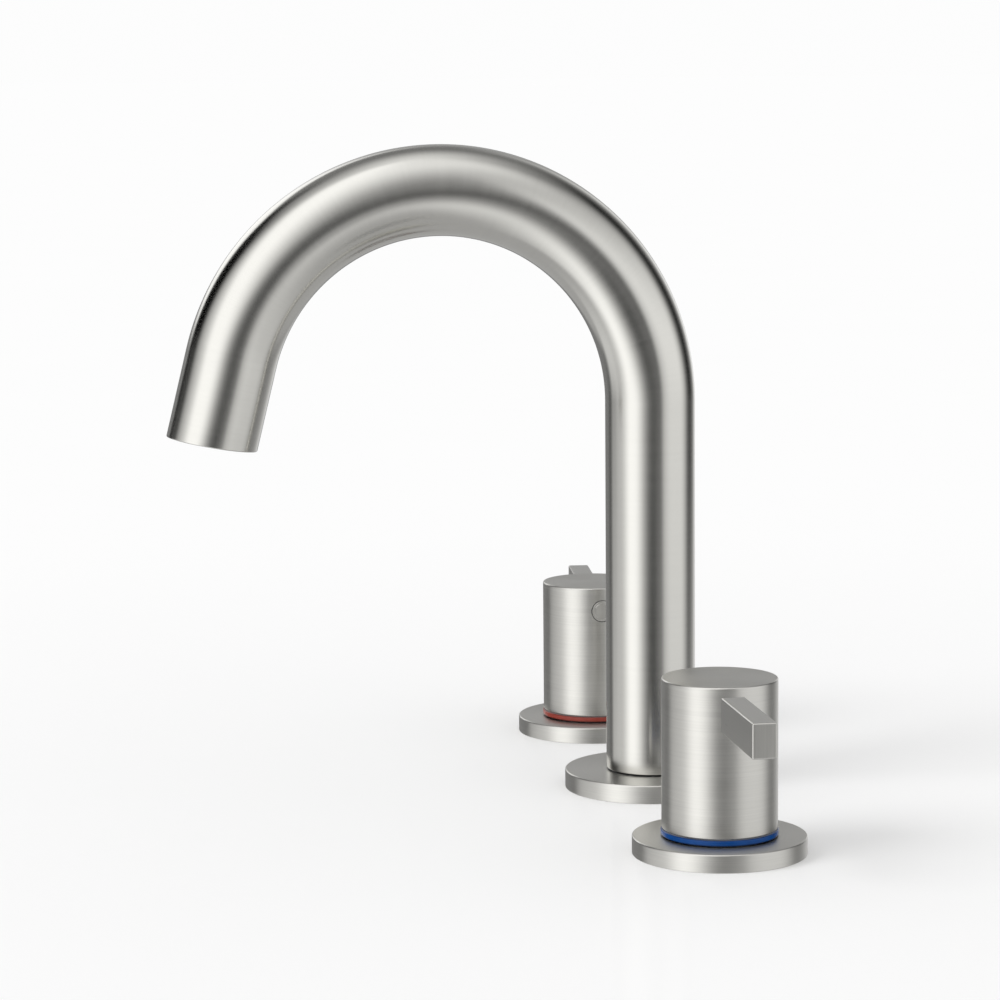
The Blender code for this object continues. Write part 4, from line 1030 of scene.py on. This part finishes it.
outline = [(SHANK_BORE, POST_TOP - 0.5 * MM), (SHANK_BORE + 0.5 * MM, POST_TOP),
           (POST_RADIUS - 0.7 * MM, POST_TOP), (POST_RADIUS, POST_TOP - 1.2 * MM)]
for foot in GROOVE_FEET:
    outline += [(POST_RADIUS, foot + GROOVE_WIDTH), (GROOVE_RADIUS, foot + GROOVE_WIDTH),
                (GROOVE_RADIUS, foot), (POST_RADIUS, foot)]
outline += [(POST_RADIUS, 4.2 * MM), (COLLAR_RADIUS - 0.3 * MM, 4.2 * MM), (COLLAR_RADIUS, 3.9 * MM),
            (COLLAR_RADIUS, 2.3 * MM), (SHANK_ROOT, 2.3 * MM), (SHANK_ROOT, -55.4 * MM),
            (SHANK_ROOT - 0.6 * MM, -56.0 * MM), (SHANK_BORE + 0.4 * MM, -56.0 * MM),
            (SHANK_BORE, -55.6 * MM)]
shank = turned("spout_shank_turned", outline, sides=72)
threaded(shank, SHANK_ROOT, SHANK_CREST, -55.0 * MM, 0.5 * MM, 1.5 * MM)
slot_block = fresh("slot_block", bpy.ops.mesh.primitive_plane_add, size=1)
half = SWIVEL_EACH_WAY + math.asin(SLOT_HALF / SLOT_FLOOR)
corners = [(radius, height) for height in (-SLOT_HALF, SLOT_HALF) for radius in (SLOT_FLOOR, SLOT_REACH)]
for vertex, (radius, height) in zip(slot_block.data.vertices, corners):
    vertex.co = polar(0, radius, math.pi / 2 - half, CATCH_LEVEL + height)
edit_all()
bpy.ops.mesh.spin(steps=40, angle=-2 * half, center=(0, 0, CATCH_LEVEL), axis=UP)
close_up()
combine(shank, slot_block)
lathe_finish(shank)
print("slot:", round(math.degrees(2 * half), 1), "degrees round the post")
finish_piece(shank, turned_brass, "base", "brass", "spout_shank")

# %% [markdown]
# From below, a rubber gasket, a steel washer and a brass nut clamp the shank to the deck. The handles
# are clamped the same way, with a ring nut and a gasket above the deck and a lock nut below it.

# %% Gaskets, washers and nuts
def nut(name, corner, hole, low, high):
    """A hexagon nut along Z with both ends of its hole countersunk."""
    made = hexagon(name, corner, low, high)
    ease = 0.7 * MM
    wide = hole + ease + MM
    bored(made, [(0, low - MM), (wide, low - MM), (hole, low + ease), (hole, high - ease), (wide, high + MM),
                 (0, high + MM)])
    lathe_finish(made)
    return made


def set_pair(hot, cold, finish, slot, node):
    """Stands a hot and a cold piece, both made at the origin, under their handles."""
    for side, shape in (("hot", hot), ("cold", cold)):
        aimed(shape, Vector((HANDLES[side]["x"], 0, 0)), UP)
        finish_piece(shape, finish, "base", slot, side + "_" + node)


SHANK_HOLE = 10.6 * MM
WASHER_RADIUS = 21.0 * MM
RING_NUT_NOTCH = 2.2 * MM

for node, make, finish, slot, radius, low, high in (
        ("spout_deck_gasket", "_moulded", soft_rubber, "black_rubber", COLLAR_RADIUS, 0.0, 2.0),
        ("spout_lower_gasket", "_moulded", soft_rubber, "black_rubber", WASHER_RADIUS, -27.3, -25.3),
        ("spout_washer", "_stamped", stamped_steel, "stainless_steel", WASHER_RADIUS, -29.1, -27.6)):
    shape = flat_ring(node + make, SHANK_HOLE, radius, low * MM, high * MM)
    soften(shape)
    finish_piece(shape, finish, "base", slot, node)
mounting_nut = nut("spout_mounting_nut_turned", 18.0 * MM, SHANK_HOLE, -37.4 * MM, -29.4 * MM)
finish_piece(mounting_nut, turned_brass, "base", "brass", "spout_mounting_nut")

ring_nut = flat_ring("hot_ring_nut_turned", BARREL_HOLE, 20.0 * MM, 0, 3.7 * MM, 0.5 * MM)
for quarter in range(4):
    spot = polar(0, 20.4 * MM, quarter * math.pi / 2, -MM)
    combine(ring_nut, peg("notch", RING_NUT_NOTCH, spot, spot + UP * 6 * MM, 24))
lathe_finish(ring_nut)
handle_gasket = flat_ring("hot_deck_gasket_moulded", 20.3 * MM, 26.3 * MM, 0, 3.7 * MM)
handle_washer = flat_ring("hot_washer_stamped", BARREL_HOLE, WASHER_RADIUS, -26.8 * MM, -25.3 * MM)
for shape in (handle_gasket, handle_washer):
    soften(shape)
lock_nut = nut("hot_lock_nut_turned", 20.5 * MM, BARREL_HOLE, -35.1 * MM, -27.1 * MM)
for pattern, finish, slot, node in ((ring_nut, turned_brass, "brass", "ring_nut"),
                                    (handle_gasket, soft_rubber, "black_rubber", "deck_gasket"),
                                    (handle_washer, stamped_steel, "stainless_steel", "washer"),
                                    (lock_nut, turned_brass, "brass", "lock_nut")):
    set_pair(pattern, copied(pattern, pattern.name.replace("hot", "cold")), finish, slot, node)

# %% [markdown]
# A valve body is one brass piece. Its barrel goes through the deck, threaded from top to bottom. Below
# is the block with the seat of the ceramic discs, the inlet shank for the supply and a nipple on the
# side that faces the spout. The cold body is the hot one, turned half round.

# %% Valve bodies and tee
NIPPLE_ROOT = 5.9 * MM
NIPPLE_CREST = 6.5 * MM
NIPPLE_BORE = 4.0 * MM
SIDE_OUTLET = -46.7 * MM
CROSS_LEVEL = -64.3 * MM
VALVE_REACH = 30.0 * MM
TEE_REACH = 26.0 * MM
HALF_ROUND = Matrix.Rotation(math.pi, 4, "Z")


def nipple(foot, end):
    """A threaded connection along Z, from foot to end."""
    made = turned("nipple", [(0, foot), (NIPPLE_CREST, foot), (NIPPLE_CREST, end - 9.4 * MM),
                             (NIPPLE_ROOT, end - 8.8 * MM), (NIPPLE_ROOT, end - 0.5 * MM),
                             (NIPPLE_ROOT - 0.5 * MM, end), (0, end)], sides=64, closed=False)
    threaded(made, NIPPLE_ROOT, NIPPLE_CREST, end - 8.6 * MM, end - 0.4 * MM, 1.0 * MM, 40)
    return made


outline = in_mm((9.234, 19.5), (9.734, 20.0), (10.434, 20.0), (10.934, 19.5), (10.934, 8.0), (12.6, 8.0),
                (13.1, 7.5), (13.1, -37.0), (13.1, -38.0), (14.8, -38.0), (15.6, -38.8), (15.6, -65.0),
                (14.6, -66.0), (9.5, -66.0), (9.5, -83.4), (8.9, -84.0), (6.4, -84.0), (6.0, -83.6),
                (6.0, -62.0), (9.234, -62.0), (9.234, -49.7), (11.434, -49.7), (11.434, -43.7),
                (9.234, -43.7))
valve = turned("hot_valve_body_turned", outline, sides=72)
threaded(valve, 13.1 * MM, 13.9 * MM, -36.6 * MM, 7.4 * MM, 1.5 * MM)
threaded(valve, 9.5 * MM, 10.3 * MM, -83.2 * MM, -67.6 * MM, 1.8 * MM)
outlet = UP * SIDE_OUTLET
combine(valve, aimed(nipple(13.5 * MM, VALVE_REACH), outlet, SIDEWAYS), "UNION")
combine(valve, peg("side_bore", NIPPLE_BORE, outlet, outlet + SIDEWAYS * (VALVE_REACH + 2 * MM), 48))
lathe_finish(valve)
twin = copied(valve, "cold_valve_body_turned")
move_to(twin, HALF_ROUND)
set_pair(valve, twin, turned_brass, "brass", "valve_body")

tee = turned("spout_tee_turned", in_mm((0, -56.3), (10.6, -56.3), (10.6, -44.5), (11.1, -44.0), (12.9, -44.0),
                                       (13.6, -44.7), (13.6, -71.1), (12.4, -72.3), (0, -72.3)), closed=False)
cross = UP * CROSS_LEVEL
for way in (SIDEWAYS, -SIDEWAYS):
    combine(tee, aimed(nipple(11 * MM, TEE_REACH), cross, way), "UNION")
bore_end = SIDEWAYS * (TEE_REACH + 2 * MM)
combine(tee, peg("cross_bore", NIPPLE_BORE, cross - bore_end, cross + bore_end, 48))
combine(tee, peg("riser", NIPPLE_BORE, cross, UP * -50 * MM, 48))
lathe_finish(tee)
finish_piece(tee, turned_brass, "base", "brass", "spout_tee")

# %% [markdown]
# A rigid copper tube takes each supply from its valve to the tee, and eases down between two straight
# ends. It is a curve with a round section, made into a mesh and given its wall. A union nut holds each end.

# %% Link tubes and union nuts
LINK_RADIUS = 4.75 * MM
LINK_WALL = 1.0 * MM
LINK_STEPS = 28
VALVE_END = 71.3 * MM
TEE_END = 26.3 * MM
LINK_STRAIGHT = 9.0 * MM
UNION_CORNER = 9.5 * MM

start_fresh()
line = bpy.data.curves.new("cold_link_tube_drawn", "CURVE")
line.dimensions = "3D"
line.bevel_depth = LINK_RADIUS
line.bevel_resolution = 18
course = [Vector((VALVE_END, 0, SIDE_OUTLET))]
for step in range(LINK_STEPS + 1):
    share = step / LINK_STEPS
    drop = (1 - math.cos(math.pi * share)) / 2 * (CROSS_LEVEL - SIDE_OUTLET)
    along = VALVE_END - LINK_STRAIGHT - share * (VALVE_END - TEE_END - 2 * LINK_STRAIGHT)
    course.append(Vector((along, 0, SIDE_OUTLET + drop)))
course.append(Vector((TEE_END, 0, CROSS_LEVEL)))
spline = line.splines.new("POLY")
spline.points.add(len(course) - 1)
for point, place in zip(spline.points, course):
    point.co = (*place, 1)
link = bpy.data.objects.new("cold_link_tube_drawn", line)
bpy.context.scene.collection.objects.link(link)
link.select_set(True)
bpy.context.view_layer.objects.active = link
bpy.ops.object.convert(target="MESH")
link = bpy.context.object
edit_all()
close_up(POLE / 4)
modify(link, "SOLIDIFY", thickness=LINK_WALL, offset=-1)
soften(link)
twin = copied(link, "hot_link_tube_drawn")
move_to(twin, HALF_ROUND)
for side, shape in (("hot", twin), ("cold", link)):
    finish_piece(shape, drawn_copper, "base", "copper", side + "_link_tube")

pattern = hexagon("union_pattern", UNION_CORNER, -4.0 * MM, 8.0 * MM)
bored(pattern, in_mm((0, -5), (6.35, -5), (5.05, -3.7), (5.05, -1.5), (6.8, -1.5), (6.8, 7.5), (8.3, 9),
                     (0, 9)), 64)
lathe_finish(pattern)
valve_place = HANDLES["cold"]["x"] - VALVE_REACH
for node, place, level, way in (("hot_valve_union", -valve_place, SIDE_OUTLET, -1),
                                ("cold_valve_union", valve_place, SIDE_OUTLET, 1),
                                ("hot_tee_union", -TEE_REACH, CROSS_LEVEL, 1),
                                ("cold_tee_union", TEE_REACH, CROSS_LEVEL, -1)):
    shape = copied(pattern, node + "_turned")
    aimed(shape, Vector((place, 0, level)), SIDEWAYS * way)
    finish_piece(shape, turned_brass, "base", "brass", node)
bpy.data.objects.remove(pattern, do_unlink=True)

# %% [markdown]
# What is sealed inside the handles and the post keeps its CAD shape: hub, stem, cartridge, discs and
# seals. It shows only when the faucet is taken apart, but each piece still gets the finish it has.

# %% Finishes of the pieces inside
INNER = {inner_brass: ("bonnet_nut", "cartridge_housing", "stem", "hub"), stamped_steel: ("set_screw",),
         soft_rubber: ("cartridge_o_ring", "seat_seal"), lapped_ceramic: ("upper_disc", "lower_disc")}
inside = [(finish, side + "_" + name) for finish, names in INNER.items()
          for name in names for side in HANDLES]
inside += [(inner_brass, "spout_sleeve"), (soft_rubber, "spout_upper_o_ring"),
           (soft_rubber, "spout_lower_o_ring")]
for finish, node in inside:
    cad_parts[node].visible_glossy = False
    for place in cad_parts[node].material_slots:
        place.material = finish
print("pieces inside:", len(inside))
